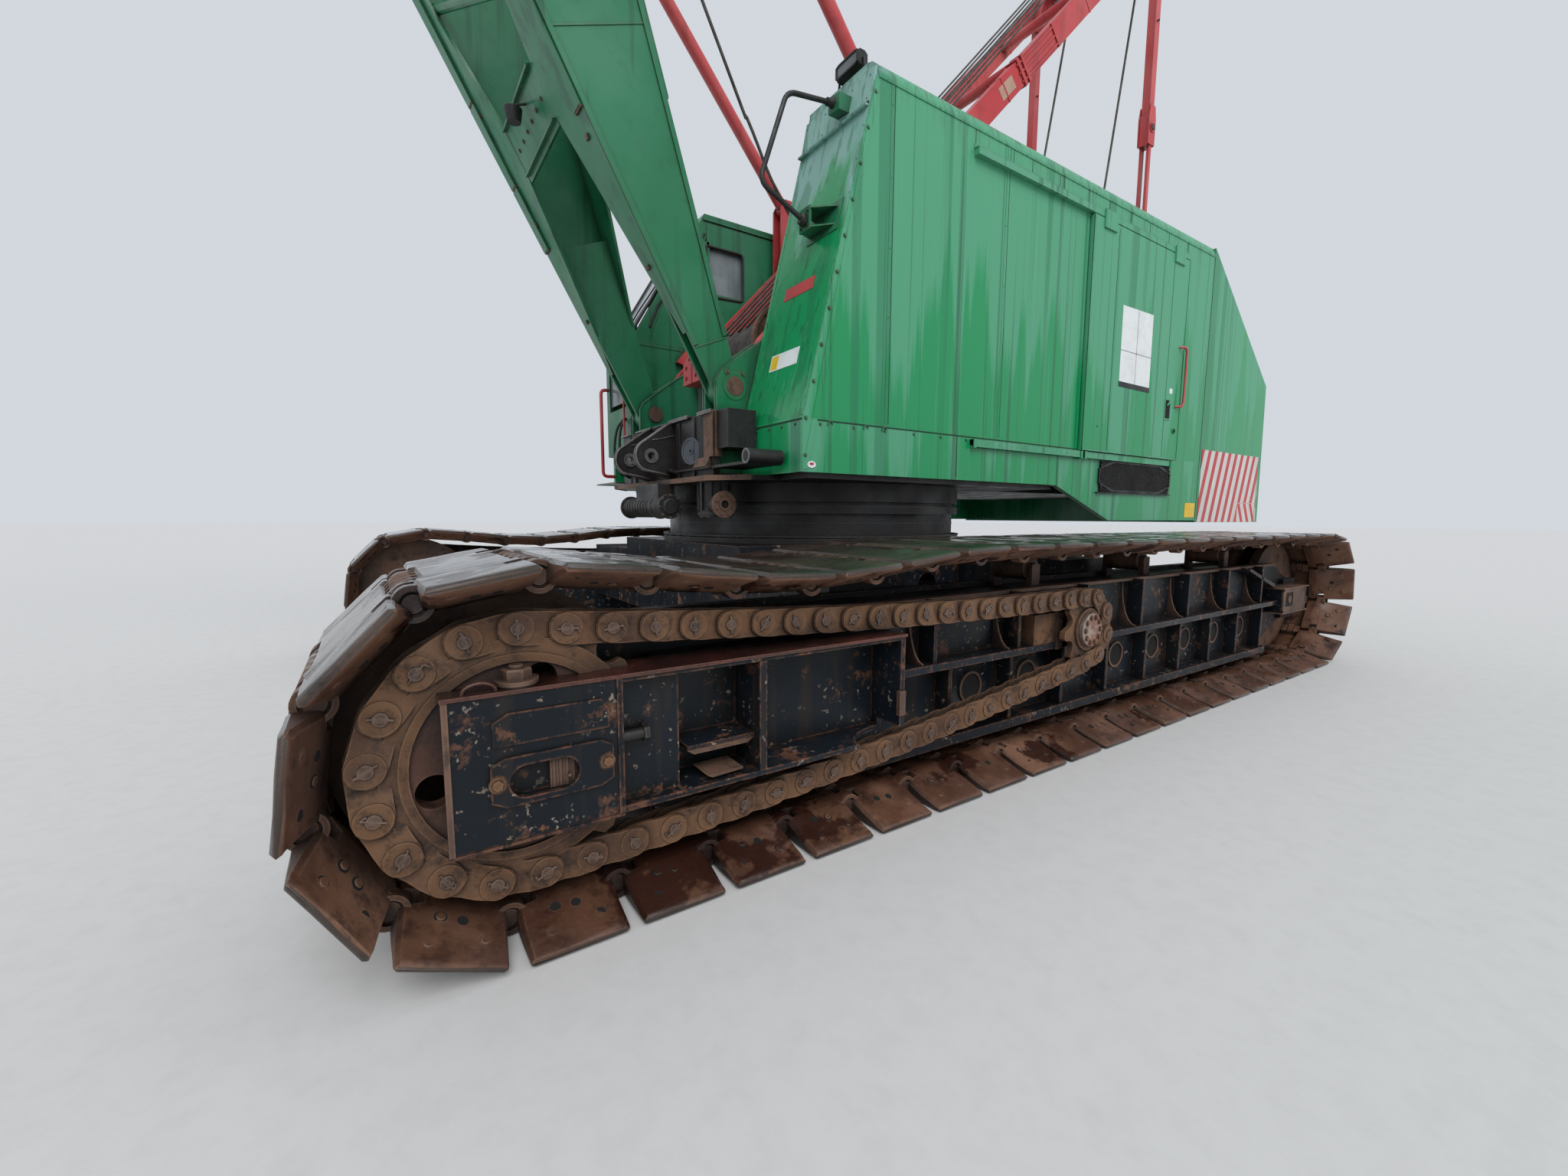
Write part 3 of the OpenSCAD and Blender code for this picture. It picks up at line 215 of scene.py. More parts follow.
def house_paint(name):
    """Green wall paint: faded from the top down, darker where water ran, with narrow runs and drips."""
    n = Net(name)
    fresh, faded, deep = (0.008, 0.285, 0.095), (0.075, 0.345, 0.185), (0.010, 0.165, 0.070)
    z = n.axis("Z")
    broad = n.noise(1.0, 2, 0.5, (2.6, 2.6, 0.03))
    narrow = n.noise(1.0, 3, 0.6, (12.0, 12.0, 0.05))
    skirt = n.step(z, 2.010, 2.018)
    edge = n.math("ADD", 1.80, n.math("MULTIPLY", skirt, 0.75))
    level = n.math("SUBTRACT", z, edge)
    level = n.math("ADD", level, n.step(broad, 0.3, 0.7, (-1.0, 1.0)))
    level = n.math("ADD", level, n.step(narrow, 0.3, 0.7, (-0.35, 0.35)))
    ahead = n.math("MULTIPLY", n.step(n.axis("X"), 0.55, 0.60), n.step(n.axis("Y"), 1.637, 1.641, (1.0, 0.0)))
    level = n.math("ADD", level, n.math("MULTIPLY", ahead, -0.50))
    col = n.mix(n.step(level, -0.05, 0.22), fresh, faded)
    pale = n.math("MULTIPLY", n.math("MULTIPLY", ahead, n.step(z, 2.4, 3.0)), n.step(level, 0.0, 0.5, (0.0, 0.95)))
    col = n.mix(pale, col, (0.235, 0.440, 0.390))
    door = n.math("MULTIPLY", n.step(n.axis("X"), -1.84, -1.83), n.step(n.axis("X"), -0.33, -0.32, (1.0, 0.0)))
    door = n.math("MULTIPLY", door, n.step(n.axis("Y"), 1.66, 1.67))
    col = n.mix(n.math("MULTIPLY", door, 0.45), col, (0.115, 0.340, 0.230))
    run = n.step(n.noise(1.0, 2, 0.4, (6.5, 6.5, 0.04)), 0.57, 0.60)
    col = n.mix(n.math("MULTIPLY", run, 0.50), col, deep)
    streak = n.step(n.noise(1.0, 3, 0.5, (21.0, 21.0, 0.10)), 0.61, 0.64)
    col = n.mix(n.math("MULTIPLY", streak, 0.45), col, (0.010, 0.075, 0.038))
    drip = n.step(n.noise(1.0, 4, 0.6, (30.0, 30.0, 0.6)), 0.60, 0.70)
    col = n.mix(n.math("MULTIPLY", drip, 0.30), col, (0.16, 0.36, 0.24))
    top = n.step(z, 4.05, 4.35)
    dirt = n.math("MULTIPLY", top, n.step(n.noise(1.0, 5, 0.7, (14.0, 14.0, 1.4)), 0.50, 0.62))
    col = n.mix(n.math("MULTIPLY", dirt, 0.55), col, (0.05, 0.06, 0.035))
    spots = n.step(n.noise(4.5, 10, 0.8), 0.70, 0.73)
    col = n.mix(spots, col, RUST)
    fine = n.noise(30.0, 8, 0.7)
    worn = n.math("MULTIPLY", n.edges(0.010), n.step(fine, 0.44, 0.56))
    col = n.mix(n.math("MULTIPLY", worn, 0.5), col, RUST_DARK)
    shine = n.step(level, -0.1, 0.3, (0.20, 0.42))
    n.bump(n.math("ADD", n.math("MULTIPLY", fine, 0.25), n.noise(2.2, 2)), 0.16, 0.02)
    return n.finish(col, shine)


def steel(name, base, other, dark, rough=(0.45, 0.8), wear=None, wet=0.0, scale=1.0, bump=0.5, metal=0.0,
          stains=0.0):
    """Bare or greasy steel: mottled colour, pits, worn edges, wet stains, and painted shade in corners."""
    n = Net(name)
    col = n.mix(n.step(n.noise(2.2 * scale, 8, 0.65), 0.43, 0.58), base, other)
    col = n.mix(n.step(n.noise(7.5 * scale, 10, 0.75), 0.51, 0.66), col, dark)
    pits = n.noise(42.0 * scale, 8, 0.75)
    col = n.mix(n.math("MULTIPLY", n.step(pits, 0.56, 0.75), 0.5), col, dark)
    if wear:
        edge = n.math("MULTIPLY", n.edges(0.010), n.step(pits, 0.36, 0.55))
        col = n.mix(n.math("MULTIPLY", edge, 0.75), col, wear)
    shine = n.step(n.noise(3.4 * scale, 6), 0.35, 0.65, rough)
    if wet:
        pool = n.math("MULTIPLY", n.step(n.up(), 0.3, 0.8), n.step(n.noise(2.7, 5), 0.40, 0.52))
        pool = n.math("MULTIPLY", pool, wet)
        col = n.mix(n.math("MULTIPLY", pool, 0.55), col, dark)
        shine = n.math("SUBTRACT", shine, n.math("MULTIPLY", pool, 0.40))
    if stains:
        stain = n.math("MULTIPLY", n.step(n.noise(1.9, 5, 0.6), 0.575, 0.605), stains)
        col = n.mix(stain, col, (0.030, 0.010, 0.007))
        shine = n.math("SUBTRACT", shine, n.math("MULTIPLY", stain, 0.38))
    # Painted shade: near black in corners and gaps, from ambient occlusion
    col = n.mix(n.math("MULTIPLY", n.corner_shade(0.10), 0.85), col, (0.010, 0.006, 0.004))
    n.bump(n.math("ADD", pits, n.math("MULTIPLY", n.noise(9.0 * scale, 6), 1.5)), bump, 0.006)
    return n.finish(col, shine, metal)


GREEN = paint("green_paint", (0.010, 0.165, 0.066), (0.034, 0.205, 0.105), (0.008, 0.060, 0.032))
WALL = house_paint("wall_paint")
RED = paint("red_paint", (0.50, 0.026, 0.032), (0.58, 0.095, 0.095), (0.16, 0.022, 0.020), runs=0.25)
NAVY = paint("navy_paint", (0.0050, 0.0085, 0.0130), (0.010, 0.0145, 0.020), (0.028, 0.020, 0.015),
             wear=(0.21, 0.090, 0.050), wear_by=1.0, rust_at=0.615, rough=(0.30, 0.55), runs=0.6, specks=0.85,
             spec=0.25)
BLACK = steel("greasy_black", (0.008, 0.0085, 0.0095), (0.018, 0.016, 0.015), (0.004, 0.004, 0.004),
              (0.30, 0.6), (0.10, 0.09, 0.08))
SHOE = steel("shoe_steel", (0.185, 0.086, 0.048), (0.110, 0.048, 0.028), (0.034, 0.014, 0.009),
             (0.52, 0.82), (0.30, 0.175, 0.110), wet=0.8, stains=0.9)
SPROCKET = steel("sprocket_rust", (0.125, 0.050, 0.028), (0.078, 0.026, 0.016), (0.022, 0.009, 0.006),
                 (0.5, 0.75), (0.24, 0.12, 0.065), stains=0.5)
SHOE_WET = steel("shoe_worn_face", (0.070, 0.045, 0.034), (0.042, 0.028, 0.021), (0.016, 0.010, 0.008),
                 (0.07, 0.24), (0.13, 0.09, 0.07), wet=1.0, scale=0.7)
CHAIN = steel("chain_rust", (0.165, 0.080, 0.036), (0.085, 0.038, 0.018), (0.022, 0.010, 0.006),
              (0.55, 0.8), (0.27, 0.145, 0.075), scale=1.6)
PIN = steel("worn_steel", (0.115, 0.066, 0.043), (0.070, 0.036, 0.023), (0.025, 0.014, 0.010),
            (0.35, 0.6), (0.26, 0.19, 0.15), scale=2.0, metal=0.2)
WORN = steel("bright_worn_steel", (0.20, 0.19, 0.18), (0.11, 0.10, 0.095), (0.03, 0.026, 0.022),
             (0.25, 0.5), (0.40, 0.38, 0.36), scale=2.0, metal=0.5)
MAROON = steel("wet_maroon_rust", (0.085, 0.022, 0.016), (0.045, 0.018, 0.014), (0.014, 0.008, 0.007),
               (0.15, 0.4), (0.20, 0.085, 0.05), wet=1.0)
SPECKLED = steel("speckled_rust", (0.30, 0.13, 0.085), (0.36, 0.29, 0.25), (0.10, 0.035, 0.022), (0.6, 0.85),
                 scale=4.0)
BROWN = steel("brown_steel", (0.085, 0.047, 0.033), (0.15, 0.08, 0.05), (0.03, 0.018, 0.013), (0.5, 0.8),
              (0.2, 0.12, 0.08))
ROPE = steel("wire_rope", (0.060, 0.055, 0.050), (0.10, 0.09, 0.08), (0.02, 0.018, 0.016), (0.4, 0.7),
             scale=3.0, metal=0.3)
RUBBER = steel("black_rubber", (0.012, 0.012, 0.012), (0.022, 0.022, 0.022), (0.006, 0.006, 0.006),
               (0.4, 0.65), scale=2.0, bump=0.2)
GREY = steel("grey_metal", (0.20, 0.21, 0.21), (0.30, 0.31, 0.31), (0.07, 0.07, 0.07), (0.3, 0.5),
             scale=2.0, bump=0.2, metal=0.6)


def sheet_paint(name, base, dirty, rough=0.5):
    n = Net(name)
    col = n.mix(n.math("MULTIPLY", n.step(n.noise(9.0, 7, 0.7), 0.45, 0.75), 0.6), base, dirty)
    n.bump(n.noise(12.0, 4), 0.08, 0.004)
    return n.finish(col, rough)


# Dark strips painted as the shadow lines of seams and laps
SEAM_SHADOW = sheet_paint("seam_shadow", (0.008, 0.045, 0.024), (0.012, 0.028, 0.018), 0.8)
LENS = sheet_paint("lamp_lens", (0.15, 0.16, 0.17), (0.08, 0.085, 0.09), 0.12)
PAPER_OLD = sheet_paint("torn_label", (0.46, 0.30, 0.22), (0.30, 0.12, 0.09), 0.6)
STEEL_BLUE = sheet_paint("oily_cover", (0.050, 0.062, 0.075), (0.022, 0.026, 0.030), 0.35)
# Near-black stand-in for holes, recesses and the space behind the grille: painted shade
HOLE_SHADE = sheet_paint("painted_hole_shade", (0.006, 0.005, 0.005), (0.012, 0.010, 0.009), 0.9)
PAPER = sheet_paint("blank_paper", (0.78, 0.80, 0.80), (0.55, 0.57, 0.56), 0.35)
YELLOW = sheet_paint("yellow_plate", (0.80, 0.52, 0.02), (0.45, 0.30, 0.03), 0.4)
PLATE_RED = sheet_paint("red_plate", (0.48, 0.035, 0.035), (0.25, 0.02, 0.02), 0.4)


def stripes(name):
    """Red and white hazard stripes, worn and stained."""
    n = Net(name)
    x, z = n.axis("X"), n.axis("Z")
    lean = n.math("ADD", n.math("MULTIPLY", x, 5.6), n.math("MULTIPLY", z, 1.7))
    patch = n.math("MULTIPLY", n.step(x, -5.40, -5.41), n.step(z, 1.58, 1.57))
    back = n.math("SUBTRACT", n.math("MULTIPLY", x, 5.6), n.math("MULTIPLY", z, 3.4))
    side = n.math("ADD", n.math("MULTIPLY", lean, n.math("SUBTRACT", 1.0, patch)), n.math("MULTIPLY", back, patch))
    wave = n.math("FRACT", side)
    band = n.math("MULTIPLY", n.step(wave, 0.02, 0.05), n.step(wave, 0.50, 0.47))
    col = n.mix(band, (0.62, 0.60, 0.57), (0.50, 0.030, 0.035))
    dirt = n.step(n.noise(1.0, 6, 0.7, (9.0, 9.0, 1.2)), 0.48, 0.72)
    col = n.mix(n.math("MULTIPLY", dirt, 0.35), col, (0.24, 0.14, 0.09))
    n.bump(n.noise(18.0, 5), 0.1, 0.004)
    return n.finish(col, 0.38)


STRIPES = stripes("hazard_stripes")


def glass(name):
    n = Net(name)
    col = n.mix(n.step(n.noise(3.0, 6, 0.7, (1.0, 1.0, 0.3)), 0.4, 0.7), (0.34, 0.40, 0.42), (0.16, 0.19, 0.20))
    n.shader.inputs["Transmission Weight"].default_value = 0.35
    n.shader.inputs["IOR"].default_value = 1.45
    return n.finish(col, n.step(n.noise(5.0, 5), 0.4, 0.7, (0.06, 0.22)))


GLASS = glass("dusty_glass")


# Mesh code

class Shape:
    """Points and faces of one piece, in the row frame. mat is the face's material number."""

    def __init__(self):
        self.points, self.faces, self.mats = [], [], []

    def add(self, points, faces, mat=0):
        start = len(self.points)
        self.points += [Vector(p) for p in points]
        self.faces += [tuple(start + i for i in f) for f in faces]
        self.mats += [mat] * len(faces)

    def merge(self, other, matrix=None, mat=None):
        start = len(self.points)
        self.points += [matrix @ p if matrix else p.copy() for p in other.points]
        self.faces += [tuple(start + i for i in f) for f in other.faces]
        self.mats += other.mats if mat is None else [mat] * len(other.mats)

    def loft(self, rings, mat=0, closed=True):
        """Skin between like closed rings, with both ends capped."""
        n = len(rings[0])
        points = [p for ring in rings for p in ring]
        faces = []
        for r in range(len(rings) - 1):
            for i in range(n):
                j = (i + 1) % n
                faces.append((r * n + i, r * n + j, (r + 1) * n + j, (r + 1) * n + i))
        if closed:
            faces.append(tuple(range(n - 1, -1, -1)))
            faces.append(tuple((len(rings) - 1) * n + i for i in range(n)))
        self.add(points, faces, mat)

    def box(self, a, b, mat=0):
        self.loft([[(x, a[1], a[2]), (x, b[1], a[2]), (x, b[1], b[2]), (x, a[1], b[2])]
                   for x in (a[0], b[0])], mat)

    def slab(self, outline, y0, y1, mat=0):
        """A flat X-Z outline between two Y planes."""
        self.loft([[(x, y, z) for x, z in outline] for y in (y0, y1)], mat)

    def rod(self, p, q, r, n=16, mat=0, r_end=None, chamfer=0.0):
        """Round bar from p to q, with chamfered ends where asked."""
        p, q = Vector(p), Vector(q)
        axis = (q - p).normalized()
        side = axis.orthogonal().normalized()
        other = axis.cross(side)
        r_end = r if r_end is None else r_end
        spans = [(p, r), (q, r_end)]
        if chamfer:
            spans = [(p, r - chamfer), (p + axis * chamfer, r), (q - axis * chamfer, r_end), (q, r_end - chamfer)]
        self.loft([[c + side * (rad * math.cos(a)) + other * (rad * math.sin(a))
                    for a in [2 * math.pi * i / n for i in range(n)]] for c, rad in spans], mat)

    def bands(self, rings, mat=0):
        """Skin round a loop of like rings, such as the four edges of a flat ring."""
        n, m = len(rings[0]), len(rings)
        faces = []
        for k in range(m):
            for i in range(n):
                j = (i + 1) % n
                faces.append((k * n + i, k * n + j, ((k + 1) % m) * n + j, ((k + 1) % m) * n + i))
        self.add([p for ring in rings for p in ring], faces, mat)

    def hollow(self, p, q, r, r_in, n=32, mat=0):
        """Round ring from p to q with a round hole."""
        p, q = Vector(p), Vector(q)
        axis = (q - p).normalized()
        side = axis.orthogonal().normalized()
        other = axis.cross(side)
        turns = [2 * math.pi * i / n for i in range(n)]
        self.bands([[c + side * (rad * math.cos(a)) + other * (rad * math.sin(a)) for a in turns]
                    for c, rad in ((p, r), (q, r), (q, r_in), (p, r_in))], mat)

    def window(self, outer, inner, y0, y1, mat=0):
        """Flat X-Z plate between two Y planes, with a hole of as many points as its outline."""
        self.bands([[(x, y, z) for x, z in ring] for ring, y in
                    ((outer, y0), (outer, y1), (inner, y1), (inner, y0))], mat)

    def pipe(self, points, r, n=10, mat=0):
        """Round tube along a line of points."""
        points = [Vector(p) for p in points]
        rings, side = [], None
        for i, c in enumerate(points):
            ahead = points[min(i + 1, len(points) - 1)] - points[max(i - 1, 0)]
            ahead.normalize()
            side = ahead.orthogonal().normalized() if side is None else (side - ahead * side.dot(ahead)).normalized()
            other = ahead.cross(side)
            rings.append([c + side * (r * math.cos(a)) + other * (r * math.sin(a))
                          for a in [2 * math.pi * k / n for k in range(n)]])
        self.loft(rings, mat)

    def bolt(self, at, axis, r, h, mat=0, washer=True):
        """Hexagon head on a round washer."""
        at, axis = Vector(at), Vector(axis).normalized()
        if washer:
            self.rod(at - axis * 0.004, at + axis * (0.22 * h), r * 1.45, 16, mat)
        self.rod(at, at + axis * h, r, 6, mat, chamfer=r * 0.12)

    def rivet(self, at, axis, r, mat=0):
        """Low round head."""
        at, axis = Vector(at), Vector(axis).normalized()
        self.rod(at - axis * 0.003, at + axis * (0.45 * r), r, 8, mat, r_end=r * 0.45)


def piece(name, shape, body, mats, bevel=0.0, angle=35.0, segments=2):
    """Blender object of a shape, which rides on a body and takes a material slot's finish."""
    mesh = bpy.data.meshes.new(name)
    mesh.from_pydata([tuple(p) for p in shape.points], [], shape.faces)
    mesh.update()
    obj = bpy.data.objects.new(name, mesh)
    bpy.context.scene.collection.objects.link(obj)
    for mat in mats:
        mesh.materials.append(mat)
    mesh.polygons.foreach_set("material_index", shape.mats)
    mesh.polygons.foreach_set("use_smooth", [True] * len(mesh.polygons))
    work = bmesh.new()
    work.from_mesh(mesh)
    bmesh.ops.recalc_face_normals(work, faces=work.faces)
    work.to_mesh(mesh)
    work.free()
    mesh.set_sharp_from_angle(angle=math.radians(angle))
    if bevel:
        mod = obj.modifiers.new("bevel", "BEVEL")
        mod.width = bevel
        mod.segments = segments
        mod.limit_method = "ANGLE"
        mod.angle_limit = math.radians(35)
    if body:
        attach(obj, body)
    return obj


def sides(fn):
    """Calls fn with +1 for the left and -1 for the right."""
    for s, word in ((1, "left"), (-1, "right")):
        fn(s, word)


# Ropes and hoses: each runs from the object back into it

def rope(name, points, r, body, mat, sag=0.0, n=24):
    """Round rope or hose along a smooth line; two points give a straight run with a little sag."""
    if len(points) == 2:
        a, b = (Vector(p) for p in points)
        path = [a.lerp(b, i / n) - Vector((0, 0, 4 * sag * (i / n) * (1 - i / n))) for i in range(n + 1)]
    else:
        path = curve_through(points, n)
    s = Shape()
    s.pipe(path, r, 8)
    obj = piece(name, s, body, [mat], angle=60)
    return obj


def curve_through(points, n):
    """Smooth line through the given points."""
    pts = [Vector(p) for p in points]
    pts = [pts[0] * 2 - pts[1]] + pts + [pts[-1] * 2 - pts[-2]]
    spans = len(pts) - 3
    out = []
    for i in range(n + 1):
        u = min(i / n * spans, spans - 1e-6)
        k, t = int(u), u - int(u)
        p0, p1, p2, p3 = pts[k:k + 4]
        out.append(0.5 * ((2 * p1) + (p2 - p0) * t + (2 * p0 - 5 * p1 + 4 * p2 - p3) * t * t
                          + (3 * p1 - p0 - 3 * p2 + p3) * t ** 3))
    return out


# Two single ropes from the gantry's head sheaves down to the roof
rope("gantry_rope_rear", [(-4.715, 0.375, 8.270), (-3.930, 0.420, 4.378)], 0.013, "upperworks", ROPE, sag=0.03)
rope("gantry_rope_front", [(-4.130, -0.075, 8.358), (-3.286, -0.075, 4.340)], 0.013, "upperworks", ROPE, sag=0.03)
# Six parallel ropes between the gantry's legs, from the drum to the head sheaves
for number, fall_y in enumerate((-0.375, -0.225, -0.075, 0.075, 0.225, 0.375)):
    rope("gantry_fall_%d" % number, [(-4.205, fall_y, 8.497), (0.841, fall_y, 2.982)], 0.010, "upperworks", ROPE,
         sag=0.020 + 0.008 * (number % 3))
# Hoist rope from the boom's tip down into the house: it follows the boom above and the house below
SHEAVE_Y, LOW_END = 0.060, (-0.975, 0.150, 2.830)
HOIST = rope("hoist_rope", [(8.379, SHEAVE_Y, 19.247), (4.870, 0.100, 12.300), (1.230, 0.140, 5.480),
                            (0.760, 0.145, 4.640), (0.315, 0.150, 3.990), LOW_END],
             0.013, None, ROPE, n=36)
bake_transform(HOIST)
# Hoses at the nose
rope("nose_hose_a", [(1.545, -0.560, 2.020), (1.620, -0.570, 1.960), (1.655, -0.600, 1.860), (1.630, -0.660, 1.770),
                     (1.560, -0.700, 1.740)], 0.014, "upperworks", RUBBER)
rope("nose_hose_b", [(1.545, -0.640, 2.060), (1.610, -0.660, 1.990), (1.650, -0.720, 1.880), (1.620, -0.800, 1.790),
                     (1.550, -0.840, 1.780)], 0.014, "upperworks", RUBBER)
rope("nose_hose_c", [(1.470, -1.020, 2.330), (1.520, -1.030, 2.240), (1.530, -1.060, 2.080), (1.500, -1.110, 1.900),
                     (1.440, -1.140, 1.800)], 0.012, "upperworks", RUBBER)
rope("nose_hose_d", [(1.470, -1.100, 2.330), (1.530, -1.120, 2.230), (1.545, -1.170, 2.050), (1.510, -1.230, 1.880),
                     (1.440, -1.260, 1.790)], 0.012, "upperworks", RUBBER)


# Track shoes

TRACK_Y, DRUM_X, IDLER_X = 2.49, 3.24, -3.86
SHOES, SHOE_OUT, PIN_R, AXLE_Z = 49, 0.062, 0.565, 0.627
SHIFT, SAG, SAG_SPAN, LUG = 0.268, 0.085, 2.2, 0.045
RUN_L = DRUM_X - IDLER_X
LOOP_L = 2 * RUN_L + 2 * math.pi * PIN_R


def on_ground(z):
    """A shoe stays flat until its pin has risen by 10 mm."""
    return SHOE_OUT if z < SHOE_OUT + 0.010 else z


def track_pin(s):
    """Place of the track's pin line at length s, as x and z."""
    arc = math.pi * PIN_R
    if s < RUN_L:
        return Vector((IDLER_X + s, SHOE_OUT))
    if s < RUN_L + arc:
        a = (s - RUN_L) / PIN_R
        return Vector((DRUM_X + PIN_R * math.sin(a), on_ground(AXLE_Z - PIN_R * math.cos(a))))
    if s < 2 * RUN_L + arc:
        x = DRUM_X - (s - RUN_L - arc)
        sag = SAG * math.sin(math.pi * (DRUM_X - x) / SAG_SPAN) ** 2 if x > DRUM_X - SAG_SPAN else 0.0
        return Vector((x, AXLE_Z + PIN_R - sag))
    a = (s - 2 * RUN_L - arc) / PIN_R
    return Vector((IDLER_X - PIN_R * math.sin(a), on_ground(AXLE_Z + PIN_R * math.cos(a))))


# Half of the shoe across: distance from its middle, rear and front half length, inner and outer face, chamfer
SHOE_ROWS = [(0.000, 0.139, 0.139, 0.010, 0.062, 0.010), (0.224, 0.139, 0.139, 0.010, 0.062, 0.010),
             (0.230, 0.160, 0.158, -0.036, 0.062, 0.010), (0.286, 0.160, 0.158, -0.042, 0.062, 0.010),
             (0.291, 0.160, 0.104, -0.042, 0.062, 0.012), (0.348, 0.160, 0.104, -0.031, 0.062, 0.012),
             (0.354, 0.160, 0.160, -0.029, 0.062, 0.014), (0.440, 0.160, 0.160, 0.000, 0.062, 0.014),
             (0.520, 0.158, 0.158, 0.022, 0.062, 0.014), (0.545, 0.157, 0.157, 0.028, 0.061, 0.013),
             (0.556, 0.155, 0.155, 0.033, 0.057, 0.010), (0.560, 0.150, 0.150, 0.039, 0.052, 0.005)]
EYE_Y, EYE_R = (0.300, 0.346), 0.056


def shoe_unit(pitch, seed):
    """One shoe, as points (along the track, across, outwards from the pin line)."""
    rnd = random.Random(seed)
    s = Shape()
    rows = [(-row[0],) + row[1:] for row in SHOE_ROWS[:0:-1]] + SHOE_ROWS
    rings = []
    for y, rear, front, inner, outer, c in rows:
        ring = [(-rear, inner + c), (c - rear, inner), (-rear / 3, inner), (front / 3, inner), (front - c, inner),
                (front, inner + c), (front, outer - c), (front - c, outer), (front / 3, outer), (-rear / 3, outer),
                (c - rear, outer), (-rear, outer - c)]
        wob = [rnd.uniform(-0.003, 0.003) for _ in ring]
        rings.append([(u, y, n + (w if n < 0.048 else -abs(w))) for (u, n), w in zip(ring, wob)])
    s.loft(rings)
    for k, f in enumerate(s.faces):
        if sum(1 for i in f if s.points[i].z > 0.044) >= 3:
            s.mats[k] = 1
    half = pitch / 2
    for y in (-0.200, -0.100, 0.0, 0.100, 0.200):
        lug_block(s, -half, y, 0.021, 0.054)
    for y in (-0.150, -0.050, 0.050, 0.150):
        lug_block(s, half, y, 0.021, 0.054)
    s.rod((-half, -0.338, 0), (-half, 0.338, 0), 0.026, 12, 2, chamfer=0.003)
    for y in (-1, 1):
        # Outer eye with the pin's head sunk in it, and the ring that stands round it
        lug_block(s, -half, y * sum(EYE_Y) / 2, (EYE_Y[1] - EYE_Y[0]) / 2, EYE_R)
        s.hollow((-half, y * 0.345, 0), (-half, y * 0.362, 0), EYE_R, 0.039, 24, 0)
        s.rod((-half, y * 0.340, 0), (-half, y * 0.353, 0), 0.033, 18, 0, chamfer=0.004)
        for u, v in ((-0.085, 0.470), (0.075, 0.485), (0.045, 0.395), (-0.02, 0.405)):
            # Bolt heads worn flat, and empty holes, square to the sloping face; dark discs paint the shade in the
            # holes and round the heads
            foot = Vector((u, y * v, -0.031 + (v - 0.348) * 0.335))
            out = Vector((0, y * 0.318, -0.948))
            if rnd.random() < 0.5:
                s.rod(foot - out * 0.004, foot + out * 0.0015, 0.0165, 12, 3)
            else:
                s.rod(foot - out * 0.004, foot + out * 0.001, 0.0200, 12, 3)
                s.rod(foot, foot + out * 0.005, 0.0150, 10, 0, chamfer=0.002)
    return s


def lug_block(s, u, y, half_w, r=LUG):
    """Hinge lug: a round eye about the pin, joined to the plate."""
    toward = 1 if u < 0 else -1
    outline = [(u + toward * 0.055, -0.030)]
    outline += [(u - toward * r * math.cos(a), r * math.sin(a))
                for a in [math.radians(d) for d in range(-80, 81, 16)]]
    outline += [(u + toward * 0.055, 0.050)]
    if toward > 0:
        outline.reverse()
    s.loft([[(p, y + k, n) for p, n in outline] for k in (-half_w, half_w)], 0)


def shoes(side, word):
    s = Shape()
    pins = [track_pin(i * LOOP_L / SHOES + SHIFT) for i in range(SHOES)]
    for i, a in enumerate(pins):
        b = pins[(i + 1) % SHOES]
        t = (b - a)
        pitch = t.length
        t = t / pitch
        mid = (a + b) / 2
        unit = shoe_unit(pitch, i)
        m = Matrix(((t.x, 0, t.y, mid.x), (0, side, 0, side * TRACK_Y), (t.y, 0, -t.x, mid.y), (0, 0, 0, 1)))
        s.merge(unit, m)
    obj = piece("shoes_" + word, s, "undercarriage", [SHOE, SHOE_WET, PIN, HOLE_SHADE], angle=40)
    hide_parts("track_" + word)


sides(shoes)


# Drive chain and sprocket

CHAIN_Y, BIG_R, SMALL_R, SHAFT_Z, LINKS = 2.86, 0.410, 0.200, 0.710, 56
LINK_H, LINK_T = 0.056, 0.011
CHAIN_L = 2 * DRUM_X + math.pi * (BIG_R + SMALL_R)
SAG_TOP, SAG_LOW = 0.040, 0.050


def chain_pin(s):
    big = math.pi * BIG_R
    if s < DRUM_X:
        u = s / DRUM_X
        return Vector((s, (1 - u) * (SHAFT_Z - SMALL_R) + u * (AXLE_Z - BIG_R) - 4 * SAG_LOW * u * (1 - u)))
    if s < DRUM_X + big:
        a = (s - DRUM_X) / BIG_R
        return Vector((DRUM_X + BIG_R * math.sin(a), AXLE_Z - BIG_R * math.cos(a)))
    if s < 2 * DRUM_X + big:
        u = (s - DRUM_X - big) / DRUM_X
        return Vector((DRUM_X * (1 - u), (1 - u) * (AXLE_Z + BIG_R) + u * (SHAFT_Z + SMALL_R)
                       - 4 * SAG_TOP * u * (1 - u)))
    a = (s - 2 * DRUM_X - big) / SMALL_R
    return Vector((-SMALL_R * math.sin(a), SHAFT_Z + SMALL_R * math.cos(a)))


def link_plate(s, length, side):
    """Cranked side plate: wide end about the first pin, narrow end about the next."""
    wide, near = 0.032, 0.0195
    # Stations along the link: place, half height, inner face of the plate
    rows = [(-0.054, 0.016, wide), (-0.047, 0.033, wide), (-0.030, 0.048, wide), (0.0, LINK_H, wide),
            (0.050, LINK_H, wide), (length - 0.058, LINK_H, near), (length, LINK_H, near),
            (length + 0.030, 0.048, near), (length + 0.047, 0.033, near), (length + 0.054, 0.016, near)]
    s.loft([[(u, side * y, -k), (u, side * (y + LINK_T), 0.002 - k), (u, side * (y + LINK_T), k - 0.002),
             (u, side * y, k)] for u, k, y in rows], 0)


